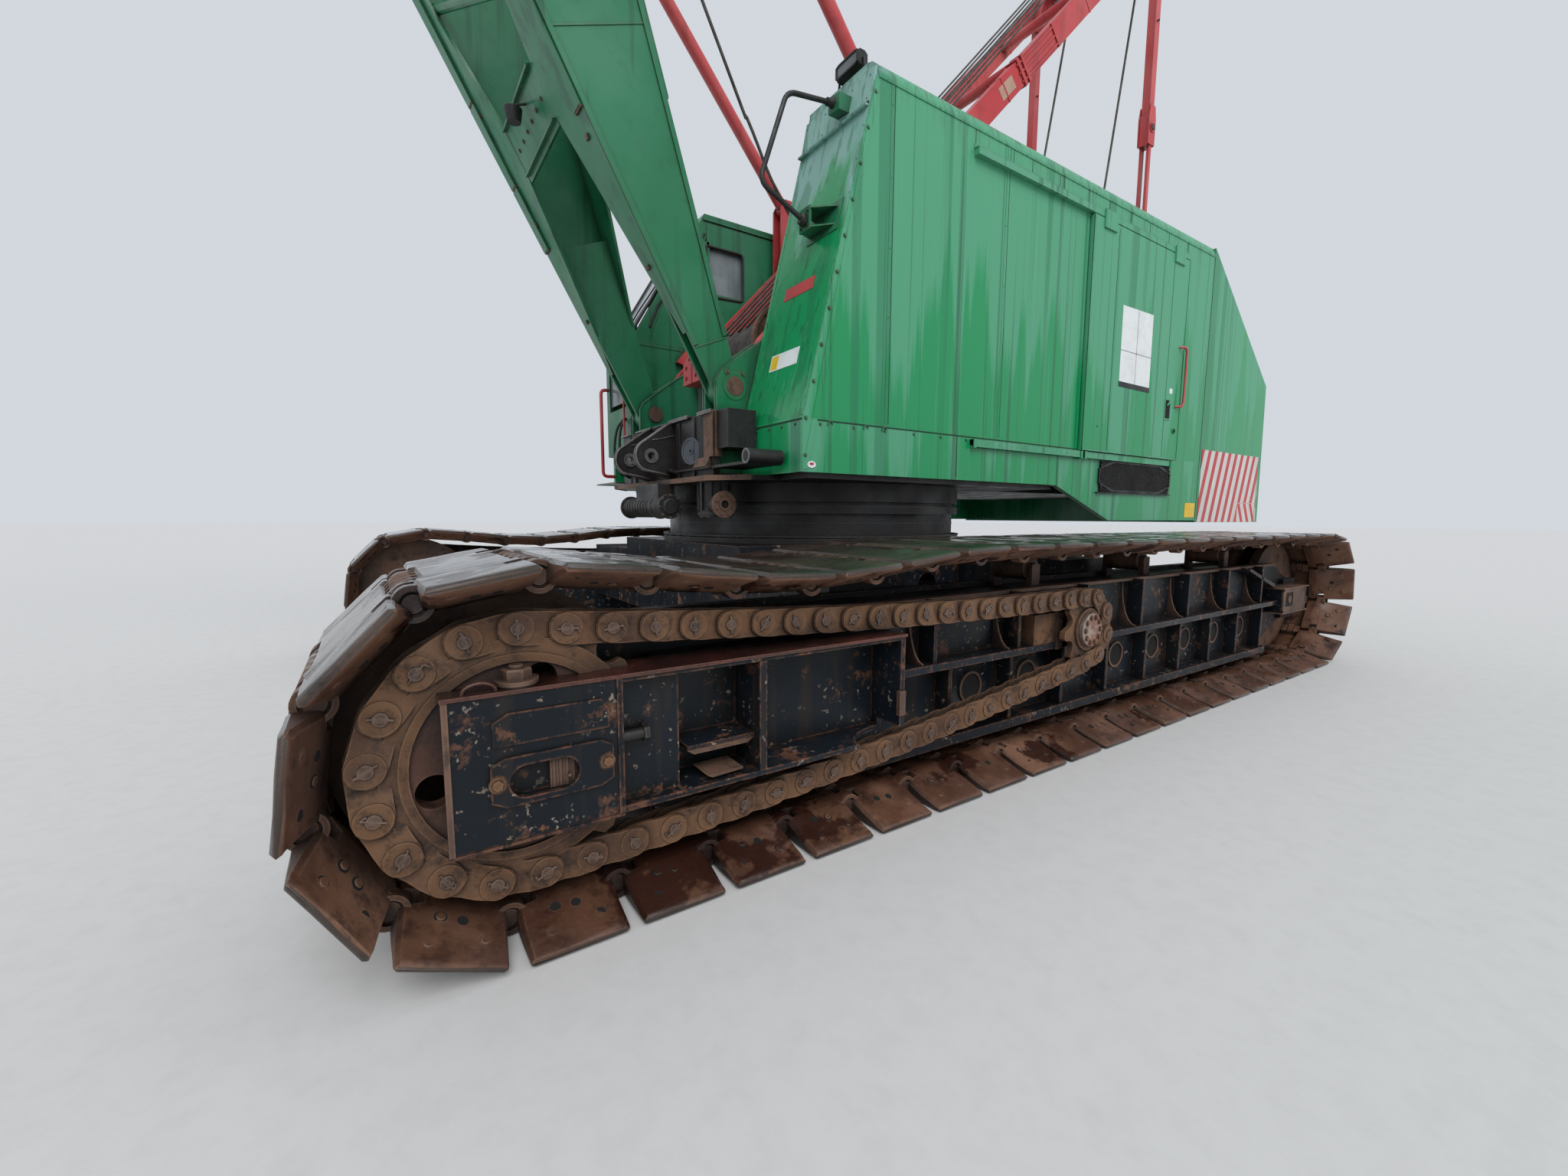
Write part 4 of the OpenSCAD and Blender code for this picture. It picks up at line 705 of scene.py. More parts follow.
def link_unit(length, seed):
    rnd = random.Random(seed)
    s = Shape()
    for side in (1, -1):
        link_plate(s, length, side)
        s.rod((0, side * 0.042, 0), (0, side * 0.0485, 0), 0.052, 28, 0, chamfer=0.0015)
        s.rod((0, side * 0.046, 0), (0, side * 0.056, 0), 0.0215, 14, 1, chamfer=0.002)
        # Split pin through the chain pin's end
        turn = rnd.uniform(0, math.pi)
        ends = [(math.cos(turn) * 0.033 * k, side * 0.0525, math.sin(turn) * 0.033 * k) for k in (-1, 1)]
        s.rod(ends[0], ends[1], 0.0042, 6, 1)
        s.rod(ends[1], Vector(ends[1]) + Vector((0.008, 0, -0.016)), 0.0036, 6, 1)
    s.rod((0, -0.050, 0), (0, 0.050, 0), 0.0180, 12, 1)
    s.rod((0, -0.018, 0), (0, 0.018, 0), 0.036, 16, 0)
    return s


CHAIN_PINS = [chain_pin(i * CHAIN_L / LINKS + 0.032) for i in range(LINKS)]


def chain(side, word):
    s = Shape()
    for i, a in enumerate(CHAIN_PINS):
        b = CHAIN_PINS[(i + 1) % LINKS]
        t = b - a
        length = t.length
        t = t / length
        m = Matrix(((t.x, 0, t.y, a.x), (0, side, 0, side * CHAIN_Y), (t.y, 0, -t.x, a.y), (0, 0, 0, 1)))
        s.merge(link_unit(length, i), m)
    obj = piece("chain_links_" + word, s, "undercarriage", [CHAIN, PIN], angle=30)
    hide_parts("drive_chain_" + word)


sides(chain)


def teeth(s, x, z, r, root, tip, side):
    """Ring of worn, hooked teeth that stand between the chain's pins."""
    angles = [math.atan2(p.y - z, p.x - x) for p in CHAIN_PINS if (p - Vector((x, z))).length < r + 0.004]
    count = round(2 * math.pi * r / (CHAIN_L / LINKS))
    step = 2 * math.pi / count
    # Turn within one tooth, and how far out its flank is
    flank = ((-0.50, root), (-0.36, root + 0.005), (-0.26, r - 0.012), (-0.20, r + 0.02), (-0.10, tip),
             (0.0, tip - 0.004), (0.12, r + 0.025), (0.24, r - 0.012), (0.36, root + 0.005))
    outline = []
    for i in range(count):
        for da, rad in flank:
            a = angles[0] + step * (i + 0.5 + da)
            outline.append((x + rad * math.cos(a), z + rad * math.sin(a)))
    inner = []
    for q in outline:
        a = math.atan2(q[1] - z, q[0] - x)
        inner.append((x + (root - 0.06) * math.cos(a), z + (root - 0.06) * math.sin(a)))
    s.window(outline, inner, side * (CHAIN_Y - 0.017), side * (CHAIN_Y + 0.017))


def sprockets(side, word):
    s = Shape()
    teeth(s, DRUM_X, AXLE_Z, BIG_R, 0.378, 0.438, side)
    teeth(s, 0.0, SHAFT_Z, SMALL_R, 0.162, 0.232, side)
    y = side * (CHAIN_Y + 0.030)
    # Raised rim and boss of the large sprocket, and the bolted face of the small one
    s.hollow((DRUM_X, y - side * 0.02, AXLE_Z), (DRUM_X, y + side * 0.012, AXLE_Z), 0.334, 0.306, 64)
    s.hollow((DRUM_X, y - side * 0.02, AXLE_Z), (DRUM_X, y + side * 0.004, AXLE_Z), 0.382, 0.330, 64)
    s.rod((DRUM_X, y - side * 0.004, AXLE_Z), (DRUM_X, y + side * 0.020, AXLE_Z), 0.165, 40, chamfer=0.006)
    for i in range(10):
        a = 2 * math.pi * i / 10
        s.bolt((0.078 * math.cos(a), y + side * 0.026, SHAFT_Z + 0.078 * math.sin(a)), (0, side, 0), 0.012, 0.012)
    s.rod((0, y - side * 0.01, SHAFT_Z), (0, y + side * 0.026, SHAFT_Z), 0.102, 32, 1, chamfer=0.004)
    piece("sprocket_teeth_" + word, s, "undercarriage", [CHAIN, SPECKLED], angle=30)


sides(sprockets)


# Side frames and the bearing bracket that guards the chain

def ring_of(cx, cz, hx, hz, n=32, round_ends=False):
    """Points round a rectangle, or round a slot with round ends, one for each of n turns."""
    out = []
    for i in range(n):
        a = 2 * math.pi * (i + 0.5) / n
        c, d = math.cos(a), math.sin(a)
        if round_ends:
            out.append((cx + math.copysign(hx - hz, c) + hz * c, cz + hz * d))
        else:
            k = 1 / max(abs(c) / hx, abs(d) / hz)
            out.append((cx + k * c, cz + k * d))
    return out


def bracket_trim(side, word):
    s = Shape()
    face = side * 2.985

    def at(depth):
        return face - side * depth
    # Rusty top plate with a lip, and the lighter edge of the lower flange
    s.box((1.640, at(0.190), 0.857), (3.466, at(-0.008), 0.869), 1)
    s.box((2.940, at(0.030), 0.384), (3.464, at(-0.004), 0.3935), 0)
    # Raised plate over the window, and the plate round the slot
    s.slab([(2.985, 0.700), (2.985, 0.762), (3.010, 0.800), (3.290, 0.800), (3.335, 0.775), (3.335, 0.700)],
           at(0.002), at(-0.006))
    s.window(ring_of(3.160, 0.5875, 0.185, 0.0775), ring_of(3.190, 0.582, 0.103, 0.051, round_ends=True),
             at(0.002), at(-0.011))
    for x, z in ((3.327, 0.588), (2.996, 0.590)):
        s.bolt((x, at(-0.010), z), (0, side, 0), 0.017, 0.014, 2)
    # Block with ribs behind the window
    s.box((3.090, at(0.030), 0.533), (3.172, at(0.012), 0.632), 3)
    for x in (3.100, 3.120, 3.140, 3.160):
        s.rod((x, at(0.014), 0.535), (x, at(0.014), 0.630), 0.007, 10, 3)
    # Edge bars of the bearing plate, jack bolt beside it and the nut on the top
    s.box((2.938, at(0.004), 0.394), (2.958, at(-0.005), 0.857), 0)
    s.box((3.446, at(0.004), 0.394), (3.463, at(-0.005), 0.857), 3)
    s.rod((2.840, at(0.022), 0.649), (2.944, at(0.022), 0.649), 0.020, 16, 4, chamfer=0.003)
    s.rod((2.845, at(0.022), 0.649), (2.866, at(0.022), 0.649), 0.034, 6, 4, chamfer=0.003)
    s.rod((3.250, at(0.055), 0.862), (3.250, at(0.055), 0.880), 0.058, 24, 3)
    s.bolt((3.250, at(0.055), 0.880), (0, 0, 1), 0.045, 0.042, 3)
    s.rod((3.250, at(0.055), 0.920), (3.250, at(0.055), 0.932), 0.022, 12, 3, chamfer=0.003)
    # Curled lip at the front, flat bar on the rear plate and the small plate at its end
    lip = [(3.36 + 0.045 * math.cos(a), at(0.02), 0.868 + 0.028 * math.sin(a))
           for a in [math.pi * i / 10 for i in range(11)]]
    s.pipe(lip, 0.007, 8, 1)
    s.box((1.648, at(0.010), 0.500), (1.682, at(-0.012), 0.612), 3)
    s.box((2.378, at(0.150), 0.414), (2.410, at(-0.006), 0.842), 0)
    # Shelf's bent front edge
    s.slab([(2.408, 0.538), (2.690, 0.538), (2.662, 0.520), (2.436, 0.520)], at(0.052), at(0.042), 3)
    s.slab([(2.470, 0.430), (2.60, 0.425), (2.62, 0.436), (2.47, 0.438)], at(0.150), at(0.02), 3)
    rnd = random.Random(31)
    for _ in range(9):
        # Chips and scabs of paint
        x, z = rnd.uniform(2.965, 3.42), rnd.uniform(0.42, 0.82)
        s.rod((x, at(0.002), z), (x, at(-0.0010), z), rnd.uniform(0.003, 0.006), 6, 3)
    piece("bracket_trim_" + word, s, "undercarriage", [NAVY, MAROON, CHAIN, BROWN, BLACK], 0.0015)


sides(bracket_trim)


def frame_trim(side, word):
    s = Shape()

    def y(v):
        return side * v
    # Worn edges of the two ledges and of the frame's top
    s.box((-3.300, y(2.786), 0.597), (1.600, y(2.797), 0.636))
    s.box((-3.150, y(2.766), 0.168), (2.500, y(2.777), 0.222))
    s.box((-3.480, y(2.650), 0.945), (2.880, y(2.700), 0.964), 1)
    # Gusset plates with curved corners over the ledge
    for i in range(7):
        x = -2.9 + 0.7 * i
        curve = [(2.660, 0.630), (2.775, 0.630)] + [(2.775 - 0.105 * math.sin(a), 0.640 + 0.29 * (1 - math.cos(a)))
                                                     for a in [math.pi / 2 * k / 6 for k in range(7)]]
        curve += [(2.660, 0.935)]
        s.loft([[(x + w, y(p), q) for p, q in curve] for w in (0.0, 0.012)], 1)
    # Rims of the round holes, with a smaller port beside each, and dark discs in them as painted shade
    for i in range(8):
        x = -2.840 + 0.520 * i
        s.hollow((x, y(2.655), 0.420), (x, y(2.672), 0.420), 0.094, 0.079, 32, 1)
        s.hollow((x + 0.235, y(2.655), 0.385), (x + 0.235, y(2.670), 0.385), 0.050, 0.030, 24, 1)
        s.rod((x + 0.235, y(2.650), 0.385), (x + 0.235, y(2.663), 0.385), 0.031, 20, 3)
        s.rod((x, y(2.650), 0.420), (x, y(2.6615), 0.420), 0.080, 28, 3)
    # Gear housing of the small sprocket, with its bolted cover and arm
    s.box((0.130, y(2.650), 0.600), (0.400, y(2.790), 0.815), 2)
    s.box((0.120, y(2.780), 0.590), (0.190, y(2.800), 0.825), 1)
    for z in (0.62, 0.69, 0.76, 0.81):
        s.bolt((0.150, y(2.798), z), (0, side, 0), 0.010, 0.010, 1)
    s.slab([(0.020, 0.815), (0.300, 0.850), (0.300, 0.885), (0.010, 0.870)], y(2.800), y(2.812), 1)
    # Rear bearing box: frame round its window, a dark block in the window as painted shade, caps and the idler's
    # adjuster
    s.window(ring_of(-3.560, 0.630, 0.262, 0.118), ring_of(-3.445, 0.640, 0.090, 0.066), y(2.826), y(2.840), 1)
    s.box((-3.530, y(2.829), 0.575), (-3.360, y(2.8345), 0.705), 3)
    s.rod((-3.450, y(2.828), 0.640), (-3.450, y(2.846), 0.640), 0.036, 20, 2, chamfer=0.004)
    s.box((-3.905, y(2.640), 0.738), (-3.290, y(2.845), 0.750), 1)
    s.box((-3.905, y(2.640), 0.510), (-3.290, y(2.845), 0.522), 1)
    s.box((-4.000, y(2.655), 0.420), (-3.720, y(2.700), 0.800), 0)
    s.hollow((-3.860, y(2.690), 0.627), (-3.860, y(2.716), 0.627), 0.075, 0.045, 28, 1)
    s.slab([(-3.29, 0.75), (-2.70, 0.93), (-2.70, 0.955), (-3.29, 0.785)], y(2.68), y(2.77), 0)
    piece("frame_trim_" + word, s, "undercarriage", [NAVY, BROWN, CHAIN, HOLE_SHADE], 0.0015)


sides(frame_trim)


# House: the walls' seams and fasteners

FRONT_X, LEAN, SKIRT, WALL_Y = 1.262, 0.22323, 1.674, 1.643
SEAM_Z = 2.011
ROOF_X = 0.672
FACE_LEAN = (FRONT_X - ROOF_X) / (4.326 - SEAM_Z)
FACE_N = Vector((1, 0, FACE_LEAN)).normalized()


def face_x(z):
    """The front face as seen: upright up to the seam, then leaning back."""
    return FRONT_X - FACE_LEAN * max(z - SEAM_Z, 0.0)


def on_face(s, y0, y1, z0, z1, out, mat=0, back=0.003):
    """Thin plate on the leaning front face."""
    ring = [(y0, z0), (y1, z0), (y1, z1), (y0, z1)]
    s.loft([[Vector((face_x(z), y, z)) + FACE_N * k for y, z in ring] for k in (-back, out)], mat)


def wall_trim(side, word):
    s = Shape()
    wall = side * WALL_Y

    def plate(x0, z0, x1, z1, out=0.003, mat=0):
        s.box((x0, wall - side * 0.003, z0), (x1, wall + side * out, z1), mat)

    # Dark strip painted as the shadow line of a seam
    def shadow_line(x0, z0, x1, z1):
        plate(x0, z0, x1, z1, 0.0012, 1)
    front = 1.2 if side > 0 else -0.33
    # Skirt seam, a painted shadow line, with its lap, bolts and rings
    shadow_line(-1.83, 2.004, front - 0.01 if side > 0 else front, 2.013)
    plate(-1.83, 2.014, front - 0.02 if side > 0 else front, 2.032, 0.0025)
    for i in range(11):
        x = 1.12 - 0.285 * i
        if x < front - 0.03:
            s.bolt((x, wall, 1.985), (0, side, 0), 0.0085, 0.008, 2)
    if side > 0:
        for x in (1.04, 0.73, 0.56):
            ring = [(x + 0.020 * math.cos(a), wall + side * 0.006, 1.985 + 0.026 * math.sin(a))
                    for a in [math.pi * (i / 7 - 0.05) for i in range(8)]]
            s.pipe(ring, 0.0045, 6, 2)
    # Panel seams from the skirt to the roof, each a painted shadow line with a thin lap
    for x in ((0.525, -0.700) if side > 0 else (-1.05, -2.30)):
        shadow_line(x - 0.004, 2.03, x + 0.004, 4.225)
        plate(x + 0.004, 2.03, x + 0.034, 4.225, 0.0022)
        for k in range(5):
            s.rivet((x + 0.020, wall + side * 0.002, 2.30 + 0.45 * k), (0, side, 0), 0.006, 2)
    # Short seams below the skirt and at the rear, drawn as painted shadow lines
    shadow_line(-0.205, 1.69, -0.197, 2.003)
    shadow_line(-1.534, 1.665, -1.528, 2.003)
    for x in (-4.283, -3.655):
        shadow_line(x - 0.005, 1.38 if x < -4 else 2.0, x + 0.004, 4.225)
    for k in range(12):
        s.rivet((-4.255, wall, 1.45 + 0.25 * k), (0, side, 0), 0.007, 2)
    if side > 0:
        # Guide under the door, in two lengths with end blocks
        for x0, x1 in ((-1.865, -0.350), (-3.560, -1.900)):
            s.box((x0, wall - 0.003, 1.948), (x1, wall + 0.030, 1.990), 0)
            s.box((x0, wall + 0.024, 1.935), (x1, wall + 0.034, 1.993), 0)
            n = int((x1 - x0) / 0.16)
            for k in range(n):
                s.rivet((x0 + 0.08 + 0.16 * k, wall + 0.033, 1.962), (0, 1, 0), 0.006, 2)
            for x in (x0, x1 - 0.030):
                s.box((x, wall - 0.003, 1.925), (x + 0.030, wall + 0.042, 1.994), 0)
        # Flashing over the rail with its bolts, and the small panels up to the roof, parted by painted shadow lines
        s.box((-3.640, wall - 0.003, 4.088), (-0.275, wall + 0.040, 4.096), 0)
        plate(-3.640, 4.094, -0.275, 4.128, 0.006)
        for k in range(21):
            s.bolt((-0.36 - 0.16 * k, wall + 0.005, 4.112), (0, 1, 0), 0.008, 0.008, 2)
        for x in (-0.29, -0.74, -0.98, -1.36, -1.42, -1.80, -2.13, -2.50, -2.86, -3.24, -3.63):
            shadow_line(x - 0.003, 4.130, x + 0.003, 4.225)
        # Corner strip along the leaning front, with its bolts
        edge = [(face_x(1.69) - 0.002, 1.69), (face_x(4.20) - 0.002, 4.20), (face_x(4.20) - 0.045, 4.20),
                (face_x(1.69) - 0.045, 1.69)]
        s.slab(edge, wall - 0.003, wall + 0.003)
        for k in range(11):
            z = 1.78 + 0.235 * k
            s.bolt((face_x(z) - 0.024, wall + 0.002, z), (0, 1, 0), 0.0095, 0.008, 2)
        oval = [(1.190 + 0.034 * math.cos(a), 1.722 + 0.022 * math.sin(a))
                for a in [2 * math.pi * i / 24 for i in range(24)]]
        s.slab(oval, wall - 0.002, wall + 0.0045, 3)
        s.slab([(1.190 + 0.55 * (x - 1.190), 1.726 + 0.4 * (z - 1.722)) for x, z in oval],
               wall, wall + 0.0052, 4)
        # Plain yellow sign
        plate(-4.250, 1.395, -4.010, 1.555, 0.004, 5)
        for x, z in ((-4.238, 1.408), (-4.022, 1.542)):
            s.rivet((x, wall + 0.003, z), (0, 1, 0), 0.005, 2)
    # Beaded lower edge of the roof
    s.box((-4.28, wall - side * 0.004, 4.226), (0.672 if side > 0 else -0.33, wall + side * 0.006, 4.240), 0)
    for k in range(19 if side > 0 else 16):
        x = (0.60 if side > 0 else -0.45) - 0.25 * k
        s.rivet((x, wall + side * 0.005, 4.2335), (0, side, 0), 0.007, 2)
    piece("wall_trim_" + word, s, "upperworks", [WALL, SEAM_SHADOW, GREEN, PAPER, PLATE_RED, YELLOW])


sides(wall_trim)


def front_trim():
    s = Shape()
    # Skin of the face, over the plate in the CAD
    s.slab([(FRONT_X, SKIRT), (FRONT_X, SEAM_Z), (face_x(4.20), 4.20), (face_x(4.20) - 0.03, 4.20),
            (FRONT_X - LEAN * (3.0 - SKIRT) - 0.004, 3.0), (FRONT_X - 0.010, SKIRT)], 0.876, 1.6425)
    # Skirt seam across the face as a painted shadow line, and the edge strip on the boom's side
    on_face(s, 0.880, 1.640, 2.003, 2.013, 0.0015, 1)
    on_face(s, 0.880, 1.640, 2.014, 2.030, 0.0030)
    for y in (0.92, 1.08, 1.24, 1.40, 1.56):
        s.bolt(Vector((face_x(1.985), y, 1.985)), FACE_N, 0.0085, 0.008, 2)
    on_face(s, 0.876, 0.906, 2.035, 4.03, 0.0035)
    on_face(s, 1.608, 1.641, 2.035, 4.03, 0.0035)
    for k in range(9):
        z = 2.15 + 0.22 * k
        s.rivet(Vector((face_x(z), 0.891, z)) + FACE_N * 0.003, FACE_N, 0.0075, 2)
        s.rivet(Vector((face_x(z), 1.625, z)) + FACE_N * 0.003, FACE_N, 0.0075, 2)
    # Number plate and sticker, both left blank
    on_face(s, 1.080, 1.425, 2.912, 3.000, 0.003, 4)
    on_face(s, 1.085, 1.425, 2.405, 2.520, 0.0025, 3)
    on_face(s, 1.095, 1.180, 2.415, 2.510, 0.0032, 5)
    # Box over the face at the roof, with a lip along its lower edge and a dark strip painted as the shadow where they
    # meet
    x0 = face_x(4.055) + 0.006
    s.loft([[(x, y, z) for x, z in ((0.640, 4.055), (x0, 4.055), (x0 - 0.050, 4.300), (0.640, 4.300))]
            for y in (0.876, 1.630)], 0)
    s.loft([[(x, y, z) for x, z in ((0.650, 4.040), (x0 + 0.026, 4.034), (x0 + 0.030, 4.046), (0.650, 4.056))]
            for y in (0.874, 1.632)], 0)
    s.box((x0 - 0.004, 0.874, 4.052), (x0 + 0.004, 1.632, 4.066), 1)
    for y in (0.900, 1.120, 1.420, 1.600):
        for z in (4.10, 4.25):
            s.rivet((x0 - 0.050 * (z - 4.055) / 0.245, y, z), (1, 0, 0.2), 0.008, 2)
    s.slab([(0.668, 4.236), (0.680, 4.236), (0.676, 4.330), (0.664, 4.372), (0.640, 4.372), (0.640, 4.236)],
           0.876, 1.56, 0)
    piece("front_trim", s, "upperworks", [WALL, SEAM_SHADOW, GREEN, PAPER, PLATE_RED, YELLOW])


front_trim()


def door_trim():
    s = Shape()
    y = 1.689
    # Folded edges of the door
    for x0, x1 in ((-1.852, -1.830), (-3.640, -3.618)):
        s.box((x0, y - 0.004, 2.000), (x1, y + 0.004, 4.028))
    s.box((-3.640, y - 0.004, 2.002), (-1.830, y + 0.003, 2.022))
    # Two upright seams on the door, drawn as painted shadow lines
    s.box((-2.246, y - 0.003, 2.020), (-2.240, y + 0.001, 4.000), 1)
    s.box((-3.302, y - 0.003, 2.020), (-3.296, y + 0.001, 4.000), 1)
    # Blank sheet with taped foot
    s.slab([(-2.950, 2.665), (-2.385, 2.665), (-2.380, 3.365), (-2.945, 3.372)], y - 0.001, y + 0.0022, 2)
    s.box((-2.955, y - 0.001, 2.628), (-2.380, y + 0.003, 2.676), 3)
    s.box((-2.670, y, 2.675), (-2.664, y + 0.0028, 3.365), 4)
    s.box((-2.948, y, 2.960), (-2.384, y + 0.0028, 2.966), 4)
    # Sunk latch with its lever, small tag and lock; the latch's recess, the lock and one rivet take the dark hole
    # material as painted shade
    s.box((-3.405, y - 0.004, 2.408), (-3.300, y + 0.0012, 2.605), 5)
    s.window(ring_of(-3.3525, 2.5065, 0.060, 0.106), ring_of(-3.3525, 2.5065, 0.048, 0.092),
             y - 0.002, y + 0.006)
    s.pipe([(-3.385, y + 0.002, 2.590), (-3.375, y + 0.016, 2.585), (-3.345, y + 0.020, 2.566),
            (-3.325, y + 0.012, 2.540)], 0.008, 8)
    s.box((-3.435, y - 0.001, 2.672), (-3.375, y + 0.0022, 2.722), 2)
    s.rod((-3.520, y - 0.002, 2.300), (-3.520, y + 0.010, 2.300), 0.022, 18, 5)
    s.hollow((-3.520, y - 0.002, 2.300), (-3.520, y + 0.008, 2.300), 0.030, 0.021, 20)
    s.rivet((-2.06, y, 2.23), (0, 1, 0), 0.010, 5)
    # Red pull handle
    s.pipe([(-3.520, y - 0.004, 2.548), (-3.545, y + 0.030, 2.548), (-3.580, y + 0.040, 2.556),
            (-3.600, y + 0.042, 2.590), (-3.604, y + 0.042, 2.85), (-3.602, y + 0.042, 3.110),
            (-3.582, y + 0.040, 3.145), (-3.545, y + 0.030, 3.152), (-3.520, y - 0.004, 3.152)], 0.0125, 12, 6)
    piece("door_trim", s, "house_door", [WALL, SEAM_SHADOW, PAPER, RUBBER, GREY, HOLE_SHADE, RED])


door_trim()


def grille():
    s = Shape()
    x0, x1, z0, z1, y = -3.590, -2.200, 1.640, 1.932, 1.656
    s.window(ring_of((x0 + x1) / 2, (z0 + z1) / 2, (x1 - x0) / 2, (z1 - z0) / 2),
             ring_of((x0 + x1) / 2, (z0 + z1) / 2, (x1 - x0) / 2 - 0.016, (z1 - z0) / 2 - 0.016),
             1.600, y + 0.006)
    # Dark box behind the mesh: painted shade
    s.box((x0 + 0.002, 1.615, z0 + 0.002), (x1 - 0.002, 1.640, z1 - 0.002), 1)
    step = 0.042
    for lean in (1, -1):
        k = 0
        while k * step < (x1 - x0) + (z1 - z0) * 1.6:
            # One wavy strand of the mesh, cut to the frame
            base = x0 + k * step - ((z1 - z0) * 1.6 if lean > 0 else 0)
            pts = []
            for i in range(15):
                z = z0 + (z1 - z0) * i / 14
                x = base + lean * 1.6 * (z - z0) + (0 if lean > 0 else 0)
                if x0 + 0.006 <= x <= x1 - 0.006:
                    pts.append((x, y - 0.002 * lean, z))
            if len(pts) > 1:
                s.pipe(pts, 0.0042, 4, 0)
            k += 1
    for x in (x0 + 0.03, x1 - 0.03):
        for z in (z0 + 0.05, z1 - 0.05):
            s.bolt((x, y + 0.004, z), (0, 1, 0), 0.010, 0.008, 0)
    s.slab([(-3.60, 1.628), (-2.17, 1.622), (-2.17, 1.632), (-3.60, 1.640)], 1.64, 1.668, 0)
    obj = piece("grille_mesh", s, "upperworks", [RUBBER, HOLE_SHADE])
    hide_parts("side_grille")


grille()


def hazard_plates():
    s = Shape()
    for side in (1, -1):
        a, b = side * (WALL_Y - 0.002), side * (WALL_Y + 0.004)
        s.slab([(-4.335, 1.342), (-4.335, 2.165), (-5.930, 2.165), (-5.975, 1.342)], a, b, 0)
        s.box((-5.935, min(a, b), 1.342), (-5.925, max(a, b) + 0.001, 2.165), 1)
        for k in range(7):
            s.rivet((-4.40 - 0.25 * k, b, 2.150), (0, side, 0), 0.007, 1)
    piece("hazard_plates", s, "upperworks", [STRIPES, WALL])


hazard_plates()


# Nose of the upperworks, swing gear and the front of the deck

